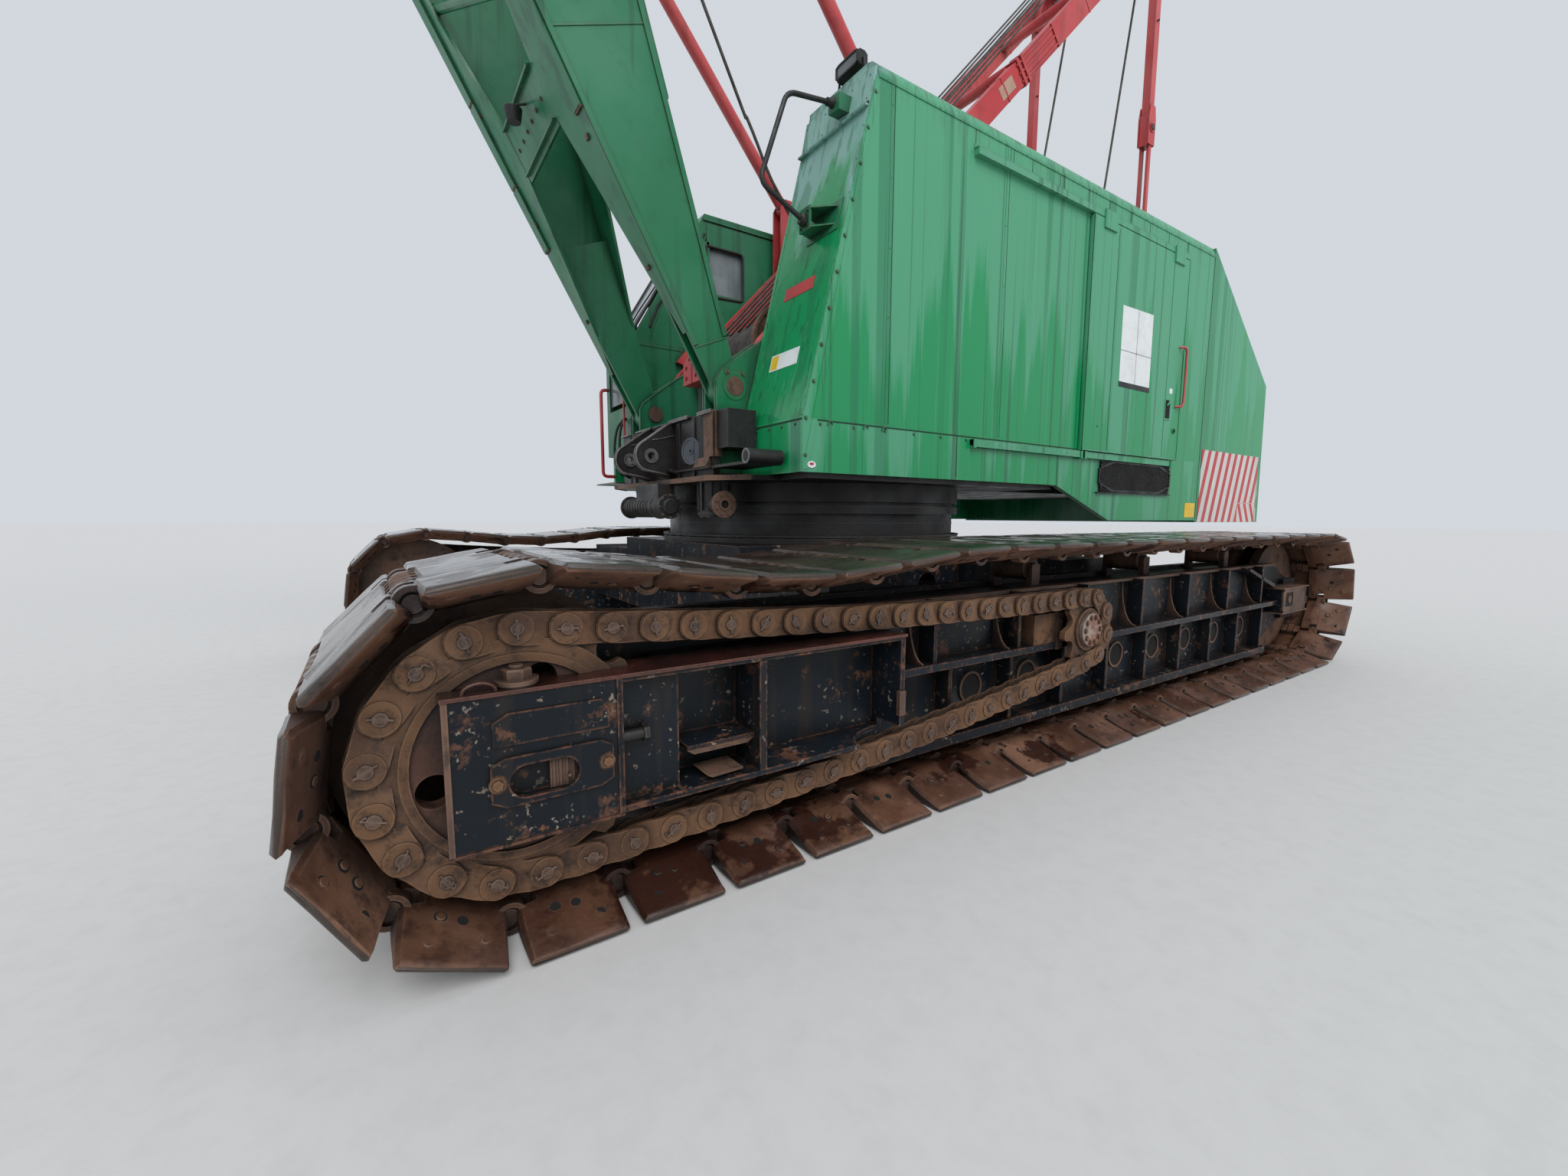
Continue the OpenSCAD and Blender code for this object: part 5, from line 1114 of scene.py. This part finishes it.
def nose_trim():
    s = Shape()
    x = 1.530
    for side in (1, -1):
        # Hitch lugs: welded rim with a polished edge, and the ring round the bore
        arc = [math.radians(d) for d in range(-62, 51, 8)]
        rim = [(1.540, 1.690), (1.614, 1.716)]
        rim += [(1.733 + 0.122 * math.cos(a), 1.855 + 0.122 * math.sin(a)) for a in arc]
        rim += [(1.607, 2.094), (1.560, 2.120)]
        s.slab([(1.530, 1.690), (1.614, 1.716), (1.700, 1.750), (1.700, 1.930), (1.797, 1.945), (1.607, 2.094),
                (1.560, 2.120), (1.530, 2.120)], side * 0.2155, side * 0.2545, 0)
        for y in (0.216, 0.254):
            s.pipe([(p, side * y, q) for p, q in rim], 0.0085, 6, 1)
        s.slab([(1.522, 1.70), (1.60, 1.735), (1.60, 1.755), (1.522, 1.725)], side * 0.2555, side * 0.33, 0)
        for k in (1, -1):
            y = side * 0.235 + k * 0.020
            s.hollow((1.733, y - k * 0.004, 1.855), (1.733, y + k * 0.012, 1.855), 0.056, 0.0305, 28, 1)
        s.slab([(1.524, 2.034), (1.660, 1.992), (1.720, 1.984), (1.720, 1.976), (1.524, 2.020)],
               side * 0.205, side * 0.265, 1)
        # Plates on the face beside the posts, with their weld beads
        s.box((x - 0.004, side * 0.300, 1.680), (x + 0.010, side * 0.372, 2.110), 0)
        s.box((x - 0.004, side * 0.600, 1.680), (x + 0.014, side * 0.640, 2.120), 0)
        s.pipe([(x + 0.002, side * 0.742, 1.68), (x + 0.003, side * 0.741, 1.90), (x + 0.002, side * 0.742, 2.12)],
               0.006, 6, 0)
        # Cover plates on top, with worn edges
        s.box((1.484, side * 0.200, 2.126), (1.556, side * 0.560, 2.140), 1)
        s.box((1.484, side * 0.735, 2.124), (1.560, side * 0.934, 2.136), 1)
    s.box((1.484, -0.200, 2.128), (1.545, 0.200, 2.139), 0)
    # Bolted brown post
    s.box((1.530, 0.815, 1.810), (1.553, 0.945, 2.124), 2)
    s.box((1.470, 0.930, 1.810), (1.540, 0.945, 2.124), 2)
    s.box((1.556, 0.200, 2.116), (1.566, 0.560, 2.142), 1)
    s.box((1.558, 0.735, 2.112), (1.568, 0.946, 2.138), 1)
    for k in range(6):
        for y in (0.834, 0.892):
            s.rivet((1.552, y, 1.835 + 0.052 * k), (1, 0, 0), 0.0085, 2)
    s.slab([(1.53, 1.742), (1.585, 1.742), (1.553, 1.810), (1.53, 1.810)], 0.70, 0.90, 2)
    # Disc cover, with a dark disc in its centre hole as painted shade
    c, d = Vector((1.548, 0.600, 1.873)), Vector((math.cos(0.31), math.sin(0.31), 0))
    w = Vector((-d.y, d.x, 0))
    s.rod(c - d * 0.030, c, 0.098, 40, 0)
    s.hollow(c - d * 0.004, c + d * 0.010, 0.101, 0.084, 40, 3)
    s.rod(c - d * 0.004, c + d * 0.006, 0.085, 40, 3)
    s.hollow(c + d * 0.002, c + d * 0.012, 0.026, 0.012, 20, 3)
    s.rod(c, c + d * 0.008, 0.012, 14, 4)
    for a in range(0, 360, 60):
        q = math.radians(a)
        s.rivet(c + d * 0.005 + w * 0.058 * math.cos(q) + Vector((0, 0, 0.058 * math.sin(q))), d, 0.006, 3)
    # Ridges on the step, its bent ends, and the worn edge of the deck
    for k in range(9):
        y = 0.965 + 0.052 * k
        s.loft([[(p, y + q, 1.741 + h) for p, q, h in
                 ((1.30, 0.0, 0.0), (1.548, 0.018, 0.0), (1.548, 0.026, 0.007), (1.30, 0.008, 0.007))],
                [(p, y + q, 1.741 + h) for p, q, h in
                 ((1.30, 0.014, 0.0), (1.548, 0.032, 0.0), (1.548, 0.028, 0.007), (1.30, 0.010, 0.007))]], 0)
    s.hollow((1.292, 1.430, 1.775), (1.298, 1.430, 1.775), 0.050, 0.036, 28, 1)
    s.hollow((1.552, 1.430, 1.775), (1.5605, 1.430, 1.775), 0.0495, 0.036, 28, 1)
    s.rod((1.550, 1.430, 1.775), (1.5565, 1.430, 1.775), 0.037, 24, 3)
    s.box((1.600, -0.955, 1.636), (1.614, 0.955, 1.673), 2)
    for side in (1, -1):
        s.loft([[(a + k, side * b, z) for a, b in ((1.400, 1.246), (1.612, 0.955)) for z in (1.636, 1.673)][:2]
                + [(a + k, side * b, z) for a, b in ((1.612, 0.955),) for z in (1.673, 1.636)]
                for k in (0.0, 0.010)], 2)
    for k in range(15):
        s.bolt((1.585, -0.91 + 0.13 * k, 1.6705), (0, 0, 1), 0.010, 0.007, 0)
    piece("nose_trim", s, "upperworks", [BLACK, WORN, BROWN, STEEL_BLUE, HOLE_SHADE], 0.001)


nose_trim()


def swing_trim():
    s = Shape()
    y = 1.003
    s.hollow((1.490, y - 0.004, 1.470), (1.490, y + 0.010, 1.470), 0.095, 0.030, 36, 1)
    # Dark disc in the bore: painted shade
    s.rod((1.490, y - 0.004, 1.470), (1.490, y + 0.002, 1.470), 0.031, 18, 2)
    s.hollow((1.490, y + 0.006, 1.470), (1.490, y + 0.016, 1.470), 0.044, 0.030, 24, 1)
    for k in range(8):
        a = math.radians(22.5 + 45 * k)
        s.bolt((1.490 + 0.071 * math.cos(a), y + 0.009, 1.470 + 0.071 * math.sin(a)), (0, 1, 0), 0.0105, 0.010, 1)
    # Ribs of the gear casing and bolts of its flange
    for k in range(10):
        a = math.radians(36 * k)
        s.bolt((1.440 + 0.112 * math.cos(a), 0.780 + 0.112 * math.sin(a), 1.386), (0, 0, -1), 0.010, 0.010, 1)
    for k in range(6):
        a = math.radians(-60 + 36 * k)
        c = Vector((1.440, 0.780, 0))
        d = Vector((math.cos(a), math.sin(a), 0))
        e = Vector((-d.y, d.x, 0)) * 0.006
        p, q = c + d * 0.116, c + d * 0.138
        s.loft([[(v.x, v.y, z) for v in (p - e, q - e, q + e, p + e)] for z in (1.43, 1.63)], 0)
    s.rod((1.440, 0.780, 1.392), (1.440, 0.780, 1.420), 0.134, 40, 0, chamfer=0.004)
    # Motor flanges, end cap and drain plug
    for y0 in (-0.470, 0.196, 0.384):
        s.rod((1.640, y0 - 0.012, 1.460), (1.640, y0 + 0.012, 1.460), 0.098, 32, 0, chamfer=0.003)
        for k in range(8):
            a = math.radians(45 * k)
            s.bolt((1.640 + 0.087 * math.cos(a), y0 + 0.010, 1.460 + 0.087 * math.sin(a)), (0, 1, 0), 0.007, 0.008, 1)
    s.rod((1.640, 0.388, 1.460), (1.640, 0.412, 1.460), 0.060, 24, 0, chamfer=0.006)
    for k in range(9):
        y0 = -0.42 + 0.062 * k
        s.rod((1.640, y0, 1.460), (1.640, y0 + 0.012, 1.460), 0.0875, 28, 0)
    # Rings and seams of the slewing base, and bolts of the slewing ring
    piece("swing_trim", s, "upperworks", [BLACK, BROWN, HOLE_SHADE])
    r = Shape()
    for z, rad, h in ((1.225, 1.415, 0.012), (1.330, 1.353, 0.010), (1.462, 1.398, 0.010)):
        r.hollow((0, 0, z), (0, 0, z + h), rad, rad - 0.03, 96, 0)
    for k in range(48):
        a = 2 * math.pi * k / 48
        r.bolt((1.385 * math.cos(a), 1.385 * math.sin(a), 1.2155), (0, 0, 1), 0.014, 0.014, 0)
    piece("base_rings", r, "undercarriage", [BLACK])


swing_trim()


# Lamp on the roof, mirror arm and its brackets

def bend(points, r, steps=5):
    """Line through the points with each corner rounded to about r."""
    pts = [Vector(p) for p in points]
    out = [pts[0]]
    for a, b, c in zip(pts, pts[1:], pts[2:]):
        p = b + (a - b).normalized() * r
        q = b + (c - b).normalized() * r
        for i in range(steps + 1):
            t = i / steps
            out.append(p * (1 - t) ** 2 + b * (2 * t * (1 - t)) + q * t ** 2)
    return out + [pts[-1]]


ARM = [(1.067, 1.350, 3.362), (1.404, 1.350, 3.510), (1.195, 1.350, 4.109), (0.790, 1.350, 4.172)]


def mirror_arm():
    s = Shape()
    s.pipe(bend(ARM, 0.07), 0.0165, 12, 0)
    # Upper box with a rubber boot, lower fork of two plates with its clamp
    s.loft([[(x, y, z) for y, z in ((1.300, 4.115), (1.420, 4.100), (1.425, 4.205), (1.305, 4.220))]
            for x in (face_x(4.16) - 0.02, 0.822)], 1)
    s.rod((0.815, 1.350, 4.168), (0.862, 1.350, 4.161), 0.036, 16, 2, r_end=0.022)
    s.rod((0.858, 1.350, 4.162), (0.874, 1.350, 4.159), 0.026, 12, 2, chamfer=0.003)
    for z in (3.300, 3.420):
        s.loft([[(x, y, z + k) for x, y in ((face_x(z) - 0.02, 1.250), (1.050, 1.290), (1.050, 1.410),
                                            (face_x(z) - 0.02, 1.560))] for k in (0.0, 0.010)], 1)
    s.box((1.036, 1.290, 3.292), (1.052, 1.410, 3.440), 1)
    s.loft([[(face_x(z) - 0.02, y, z), (face_x(z) + 0.008, y, z), (face_x(z) + 0.008, y + 0.34, z),
             (face_x(z) - 0.02, y + 0.34, z)] for z, y in ((3.255, 1.235), (3.465, 1.235))], 1)
    s.rod((1.046, 1.350, 3.353), (1.082, 1.350, 3.369), 0.040, 16, 2, chamfer=0.004)
    for y in (1.312, 1.388):
        s.bolt((1.050, y, 3.410), (1, 0, 0), 0.009, 0.009, 2)
        s.bolt((1.050, y, 3.315), (1, 0, 0), 0.009, 0.009, 2)
    obj = piece("mirror_arm_tube", s, "upperworks", [RUBBER, GREEN, RUBBER], 0.0012)
    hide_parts("mirror_arm")


mirror_arm()


def roof_lamp():
    s = Shape()
    # Housing with fins behind, rim and lens towards the front, on a bent foot
    prof = [(0.578, 4.450), (0.600, 4.438), (0.652, 4.444), (0.662, 4.462), (0.662, 4.520), (0.650, 4.538),
            (0.604, 4.538), (0.580, 4.520)]
    s.slab(prof, 1.180, 1.420, 0)
    s.window(ring_of(0, 0, 0.118, 0.046), ring_of(0, 0, 0.104, 0.034), 0.0, 0.008)
    rim = Shape()
    rim.window(ring_of(0, 0, 0.120, 0.047), ring_of(0, 0, 0.106, 0.035), -0.002, 0.010)
    rim.box((-0.106, -0.003, -0.036), (0.106, 0.003, 0.036), 1)
    s.points, s.faces, s.mats = s.points[:16], s.faces[:10], s.mats[:10]
    m = Matrix(((0, 1, 0, 0.661), (1, 0, 0, 1.300), (0, 0, 1, 4.490), (0, 0, 0, 1)))
    s.merge(rim, m)
    for k in range(7):
        s.box((0.574, 1.20 + 0.032 * k, 4.460), (0.584, 1.206 + 0.032 * k, 4.525), 0)
    s.pipe(bend([(0.620, 1.172, 4.490), (0.620, 1.160, 4.405), (0.620, 1.270, 4.396), (0.620, 1.330, 4.396),
                 (0.620, 1.440, 4.405), (0.620, 1.428, 4.490)], 0.02), 0.009, 8, 0)
    s.box((0.585, 1.265, 4.3765), (0.655, 1.335, 4.392), 0)
    s.bolt((0.620, 1.300, 4.392), (0, 0, 1), 0.012, 0.014, 0)
    obj = piece("roof_lamp_body", s, "upperworks", [RUBBER, LENS], 0.0012)
    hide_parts("roof_lamp")


roof_lamp()


# Boom: shapes are given in the boom's own frame and turned by its angle

BOOM_ANGLE, FOOT = math.radians(67), (1.320, 2.330)


def in_boom():
    c, d = math.cos(BOOM_ANGLE), math.sin(BOOM_ANGLE)
    return Matrix(((c, 0, -d, FOOT[0]), (0, 1, 0, 0), (d, 0, c, FOOT[1]), (0, 0, 0, 1)))


BOOM_Y = 0.830


def boom_trim():
    s = Shape()

    def front(t):
        return -(0.150 + t * math.tan(math.radians(6.0)))

    def rear(t):
        return 0.060 + t * math.tan(math.radians(6.1))
    for side in (1, -1):
        def y(v):
            return side * v
        # Hub round the foot pin and strap seams on the side plates
        s.hollow((0, y(0.826), 0), (0, y(0.838), 0), 0.138, 0.0705, 40)
        for t in (0.33, 2.25):
            s.slab([(t, front(t) + 0.01), (t + 0.012, front(t) + 0.01), (t + 0.012, rear(t) - 0.01),
                    (t, rear(t) - 0.01)], y(0.828), y(0.8345))
        # Edge bars that stand along both edges of the side plate
        for f, k in ((front, 1), (rear, -1)):
            s.slab([(0.35, f(0.35)), (4.20, f(4.20)), (4.20, f(4.20) + k * 0.035), (0.35, f(0.35) + k * 0.035)],
                   y(0.826), y(0.840))
        # Doublers on the front and rear flanges, each with a pointed end and a row of welds
        spans = ((1.85, 2.62), (2.64, 3.45)) if side > 0 else ((1.53, 2.00), (2.02, 2.60), (2.62, 3.45))
        for f, k in ((front, -1), (rear, 1)):
            for t0, t1 in spans:
                ring = [(t0, 0.715), (t1, 0.705), (t1, 0.824), (t0, 0.824)]
                s.loft([[(t, y(v), f(t) + k * h) for t, v in ring] for h in (-0.004, 0.022)], 0)
                s.loft([[(t, y(v), f(t) + k * h) for t, v in
                         ((t0 - 0.012, 0.712), (t0 + 0.004, 0.712), (t0 + 0.004, 0.826), (t0 - 0.012, 0.826))]
                        for h in (-0.004, 0.017)], 1)
        # Pipe brackets and a hose clip along the leg
        for t in (0.9, 1.7, 2.5, 3.3):
            s.box((t, min(y(0.700), y(0.740)), front(t) - 0.018), (t + 0.03, max(y(0.700), y(0.740)), front(t) + 0.01), 1)
    # Cross plate's turned edges and its bolts
    for t in (1.955, 2.265):
        s.box((t, -0.42, front(t) - 0.030), (t + 0.014, 0.42, front(t) + 0.01), 0)
    for k in range(6):
        s.bolt((2.11, -0.35 + 0.14 * k, front(2.11) + 0.001), (0, 0, -1), 0.012, 0.010, 1)
    # Lamp that hangs between the legs
    s.rod((2.20, 0.10, front(2.2) + 0.03), (2.20, 0.10, front(2.2) - 0.10), 0.008, 8, 1)
    s.rod((2.18, 0.10, front(2.2) - 0.10), (2.10, 0.10, front(2.2) - 0.13), 0.060, 20, 2, r_end=0.045)
    s.rod((2.185, 0.10, front(2.2) - 0.098), (2.175, 0.10, front(2.2) - 0.102), 0.052, 20, 3)
    t = Shape()
    t.merge(s, in_boom())
    piece("boom_trim", t, "boom", [GREEN, BROWN, RUBBER, LENS], 0.0015)
    # Weld collars where the lacing meets the chords of the lower section
    w = Shape()
    chord_y = 0.778
    for t0, z0, t1, z1 in ((4.3, -1, 5.049, 1), (5.171, 1, 5.94, -1), (6.059, -1, 6.79, 1), (6.99, 1, 7.40, -1)):
        for side in (1, -1):
            for t, z in ((t0, z0), (t1, z1)):
                edge = front(t) + 0.053 if z < 0 else rear(t) - 0.053
                if t < 7.0:
                    w.hollow((t, side * (chord_y - 0.060), edge), (t, side * (chord_y + 0.0525), edge), 0.058, 0.030, 20)
    t = Shape()
    t.merge(w, in_boom())
    piece("boom_weld_collars", t, "boom", [GREEN])


boom_trim()


def foot_trim():
    s = Shape()
    for side in (1, -1):
        for x, z, r in ((FOOT[0], FOOT[1], 0.070), (0.950, 2.680, 0.040)):
            y0, y1 = side * 0.866, side * 0.8745
            s.rod((x, y0, z), (x, y1, z), r - 0.002, 36, 1, chamfer=0.004)
            s.hollow((x, side * 0.864, z), (x, side * 0.872, z), r + 0.028, r + 0.001, 36, 0)
        # Keeper plate and its bolts
        s.box((FOOT[0] - 0.085, side * 0.866, FOOT[1] + 0.078), (FOOT[0] + 0.085, side * 0.873, FOOT[1] + 0.112), 0)
        for k in (-0.06, 0.06):
            s.bolt((FOOT[0] + k, side * 0.872, FOOT[1] + 0.095), (0, side, 0), 0.010, 0.009, 1)
        # Welded edge of the lug plate
        rim = [(1.470, 1.72), (1.470, 2.36), (1.440, 2.42), (1.300, 2.53), (1.080, 2.69), (0.90, 2.79)]
        s.pipe([(a, side * 0.8385, b) for a, b in rim], 0.008, 6, 0)
        s.pipe([(a, side * 0.6515, b) for a, b in rim], 0.008, 6, 0)
    piece("foot_trim", s, "upperworks", [GREEN, BROWN])
    # Red bolted block between the boom's legs, in front of the drum
    r = Shape()
    ring = [(0.195, 2.430), (0.625, 2.430), (0.625, 2.600), (0.480, 2.690), (0.350, 2.690), (0.195, 2.600)]
    r.loft([[(x, y, z) for y, z in ring] for x in (1.250, 1.420)], 0)
    r.box((1.416, 0.350, 2.432), (1.424, 0.358, 2.688), 0)
    for y, z in ((0.25, 2.48), (0.25, 2.56), (0.31, 2.62), (0.42, 2.48), (0.42, 2.60), (0.55, 2.48), (0.55, 2.58)):
        r.bolt((1.420, y, z), (1, 0, 0), 0.013, 0.011, 0)
    r.box((1.285, 0.210, 2.050), (1.295, 0.620, 2.436), 1)
    piece("front_beam", r, "upperworks", [RED, BLACK], 0.002)


foot_trim()


def drum_rope():
    """Turns of wire rope on the hoist drum, side by side."""
    s = Shape()
    x, z, turns, n = 0.620, 2.780, 36, 40
    rows = []
    for k in range(turns):
        y = -0.49 + 0.98 * (k + 0.5) / turns
        for dy, r in ((-0.0125, 0.278), (-0.008, 0.285), (0.0, 0.289), (0.008, 0.285)):
            rows.append((y + dy, r))
    rows.append((0.490, 0.278))
    s.loft([[(x + r * math.cos(2 * math.pi * i / n), y, z + r * math.sin(2 * math.pi * i / n)) for i in range(n)]
            for y, r in rows], 0)
    for side in (1, -1):
        y = side * 0.540
        s.hollow((x, y - side * 0.004, z), (x, y + side * 0.012, z), 0.351, 0.325, 56, 1)
        for k in range(8):
            a = math.radians(45 * k)
            c = Vector((x + 0.22 * math.cos(a), y + side * 0.006, z + 0.22 * math.sin(a)))
            d = Vector((math.cos(a), 0, math.sin(a)))
            s.rod(c - d * 0.10, c + d * 0.10, 0.010, 8, 1)
            s.bolt(c + Vector((0, side * 0.004, 0)), (0, side, 0), 0.014, 0.010, 1)
    piece("drum_rope_turns", s, "hoist_drum", [ROPE, BROWN], angle=50)


drum_rope()


# Gantry: clevises of the straps, plates and labels on the legs

def gantry_trim():
    s = Shape()
    top = Vector((-4.420, 8.300))
    foot = Vector((0.950, 2.680))
    along = (top - foot).normalized()
    across = Vector((-along.y, along.x))

    def leg_plate(u0, u1, v0, v1, y0, y1, mat):
        c = [foot + along * u + across * v for u, v in ((u0, v0), (u1, v0), (u1, v1), (u0, v1))]
        s.slab([(p.x, p.y) for p in c], y0, y1, mat)
    for side in (1, -1):
        def y(v):
            return side * v
        # Bolted end plate where the leg's two lengths meet, with its row of bolts
        leg_plate(4.12, 4.16, -0.125, 0.125, y(0.690), y(0.812), 0)
        leg_plate(4.20, 4.24, -0.125, 0.125, y(0.690), y(0.812), 0)
        for v in (-0.075, 0.0, 0.075):
            leg_plate(4.10, 4.86, v - 0.010, v + 0.010, y(0.798), y(0.808), 0)
        leg_plate(4.86, 4.90, -0.110, 0.110, y(0.798), y(0.810), 0)
        for u in (0.6, 1.4, 2.2, 3.0, 3.8, 5.6, 6.6):
            leg_plate(u, u + 0.02, -0.112, 0.112, y(0.698), y(0.804), 0)
        if side > 0:
            leg_plate(3.72, 3.98, -0.055, 0.060, 0.7995, 0.8018, 1)
        # Clevis cheeks, pin heads and split pins of the rear straps
        x, z = -4.320, 5.950
        for k in (0.722, 0.838):
            s.slab([(x - 0.070, 5.76), (x + 0.070, 5.76), (x + 0.075, 6.05), (x + 0.050, 6.19),
                    (x - 0.050, 6.19), (x - 0.075, 6.05)], y(k - 0.006), y(k + 0.006), 0)
        s.rod((x, y(0.700), z), (x, y(0.862), z), 0.034, 24, 2, chamfer=0.004)
        s.hollow((x, y(0.842), z), (x, y(0.852), z), 0.056, 0.035, 24, 0)
        s.pipe([(x - 0.045, y(0.857), z - 0.012), (x, y(0.857), z), (x + 0.045, y(0.857), z + 0.012)], 0.004, 6, 2)
        s.rod((x, y(0.712), 4.48), (x, y(0.848), 4.48), 0.026, 20, 2, chamfer=0.003)
        s.hollow((x, y(0.834), 4.48), (x, y(0.842), 4.48), 0.046, 0.027, 24, 0)
        s.rod((x, y(0.712), 7.10), (x, y(0.848), 7.10), 0.010, 12, 2)
        # Hub of the head shaft
        s.hollow((-4.420, y(0.600), 8.300), (-4.420, y(0.594), 8.300), 0.110, 0.052, 32, 0)
    s.hollow((-3.930, 0.420, 4.374), (-3.934, 0.420, 4.400), 0.050, 0.016, 20, 3)
    piece("gantry_trim", s, "upperworks", [RED, PAPER_OLD, BROWN, BLACK], 0.0015)


gantry_trim()


# Cab: gaskets, grab rail and wipers

def cab_trim():
    s = Shape()
    y = -0.950

    def gasket(points, out):
        s.pipe(bend(points + points[:1], 0.05), 0.013, 8, 0)
    frame_pts = [(0.62, y + 0.004, 4.09), (0.20, y + 0.004, 4.09), (0.20, y + 0.004, 3.62), (0.66, y + 0.004, 3.60)]
    gasket(frame_pts, 0)
    s.pipe([(0.64, y + 0.006, 4.20), (1.16, y + 0.006, 3.40), (1.24, y + 0.006, 3.20)], 0.011, 8, 0)
    s.box((-0.280, y, 3.050), (0.200, y + 0.006, 4.310), 1)
    s.box((0.200, y, 4.090), (0.620, y + 0.006, 4.310), 1)
    s.slab([(0.200, 3.050), (1.250, 3.050), (1.110, 3.420), (0.960, 3.640), (0.200, 3.640)], y, y + 0.006, 1)
    s.slab([(0.590, 3.640), (0.960, 3.640), (0.660, 4.130), (0.590, 4.130)], y, y + 0.006, 1)
    # Drip rail, door edge bars and panel seams of the cab's inner wall
    s.box((-0.290, y - 0.003, 4.325), (0.655, y + 0.016, 4.345), 1)
    s.box((-0.290, y - 0.002, 3.020), (1.435, y + 0.005, 3.050), 1)
    s.box((0.900, y - 0.002, 2.020), (0.915, y + 0.004, 3.030), 1)
    for k in range(12):
        s.rivet((-0.22 + 0.145 * k, y + 0.004, 3.035), (0, 1, 0), 0.007, 1)
    # Red grab rail in front of the cab's far side
    s.pipe(bend([(1.446, -1.600, 2.687), (1.528, -1.600, 2.687), (1.528, -1.600, 1.800), (1.400, -1.600, 1.800)],
                0.05), 0.017, 12, 2)
    s.pipe(bend([(1.446, -1.000, 2.640), (1.500, -1.000, 2.640), (1.500, -1.000, 2.120), (1.446, -1.000, 2.120)],
                0.04), 0.011, 10, 2)
    # Windshield frame and wiper on the leaning front
    a, b = Vector((1.452, 0, 3.05)), Vector((0.700, 0, 4.30))
    for yy in (-1.560, -1.035):
        s.pipe([(a.x, yy, a.z), (b.x, yy, b.z)], 0.014, 8, 0)
    for q in (a, b):
        s.pipe([(q.x, -1.560, q.z), (q.x, -1.035, q.z)], 0.014, 8, 0)
    s.pipe([(1.463, -1.30, 3.03), (1.24, -1.24, 3.42), (1.10, -1.12, 3.66)], 0.007, 6, 0)
    # Red guard plate by the cab's foot and the far step
    s.slab([(0.30, 3.20), (0.86, 3.05), (0.98, 2.90), (0.84, 2.86), (0.28, 3.02)], -0.946, -0.900, 2)
    s.box((1.300, -1.600, 1.700), (1.600, -1.000, 1.712), 3)
    for k in range(8):
        s.box((1.31, -1.58 + 0.075 * k, 1.711), (1.59, -1.57 + 0.075 * k, 1.716), 3)
    piece("cab_trim", s, "upperworks", [RUBBER, GREEN, RED, WORN], 0.001)
    g = Shape()
    # Windshield panes and the rear and side panes
    g.loft([[(a.x - 0.012 + k, yy, a.z) for yy in (-1.555, -1.040)] + [(b.x - 0.012 + k, yy, b.z) for yy in (-1.040, -1.555)]
            for k in (0.0, 0.008)], 0)
    g.box((1.425, -1.550, 2.505), (1.433, -1.045, 2.955), 0)
    g.box((-0.285, -1.520, 3.305), (-0.277, -1.075, 4.095), 0)
    piece("cab_panes", g, "upperworks", [GLASS])


cab_trim()


# Carried-over nodes get their finish

FINISH = {
    "carbody": NAVY, "slewing_base": BLACK, "side_frame": NAVY, "chain_bracket": NAVY, "track": SHOE,
    "drive_drum": BROWN, "idler_drum": BROWN, "rollers": BROWN, "drive_sprocket": SPROCKET, "drive_chain": CHAIN,
    "small_sprockets": CHAIN, "revolving_frame": BLACK, "nose_frame": BLACK, "swing_gear": BLACK,
    "house_left": WALL, "house_front_left": WALL, "house_right": WALL, "house_roof": WALL,
    "counterweight": WALL, "side_grille": BLACK, "engine": BLACK, "gantry_legs": RED, "gantry_straps": RED,
    "gantry_head": RED, "foot_pins": BROWN, "mirror_arm": RUBBER, "roof_lamp": RUBBER, "cab_shell": GREEN,
    "cab_glass": GLASS, "cab_seat": RUBBER, "door_rail": WALL, "house_door": WALL, "cab_door": GREEN,
    "hoist_drum": BROWN, "head_sheaves": BROWN, "boom_butt": GREEN, "boom_top": GREEN, "tip_sheaves": BROWN,
    "hook_block": RED, "pendants": ROPE, "hoist_falls": ROPE, "backstop_tubes": RED, "backstop_rods": GREY,
    "foot_lugs": GREEN,
}
for node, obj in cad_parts.items():
    base = node.rsplit("_", 1)[0] if node not in FINISH else node
    obj.data.materials.clear()
    obj.data.materials.append(FINISH[base])


# Floor, light

def make_stage():
    mesh = bpy.data.meshes.new("floor")
    mesh.from_pydata([(-120, -120, 0), (120, -120, 0), (120, 120, 0), (-120, 120, 0)], [], [(0, 1, 2, 3)])
    floor = bpy.data.objects.new("floor", mesh)
    bpy.context.scene.collection.objects.link(floor)
    mesh.materials.append(sheet_paint("floor", (0.62, 0.61, 0.60), (0.55, 0.54, 0.53), 0.8))
    world = bpy.data.worlds.new("world")
    bpy.context.scene.world = world
    world.use_nodes = True
    nt = world.node_tree
    bg = nt.nodes["Background"]
    bg.inputs["Color"].default_value = (0.86, 0.91, 0.97, 1)
    bg.inputs["Strength"].default_value = 0.75
    sun = bpy.data.lights.new("key", "SUN")
    sun.energy = 1.7
    sun.angle = 0.7
    key = bpy.data.objects.new("key", sun)
    key.rotation_euler = (math.radians(42), 0, math.radians(160))
    bpy.context.scene.collection.objects.link(key)


make_stage()
bpy.context.scene.view_settings.view_transform = "Standard"
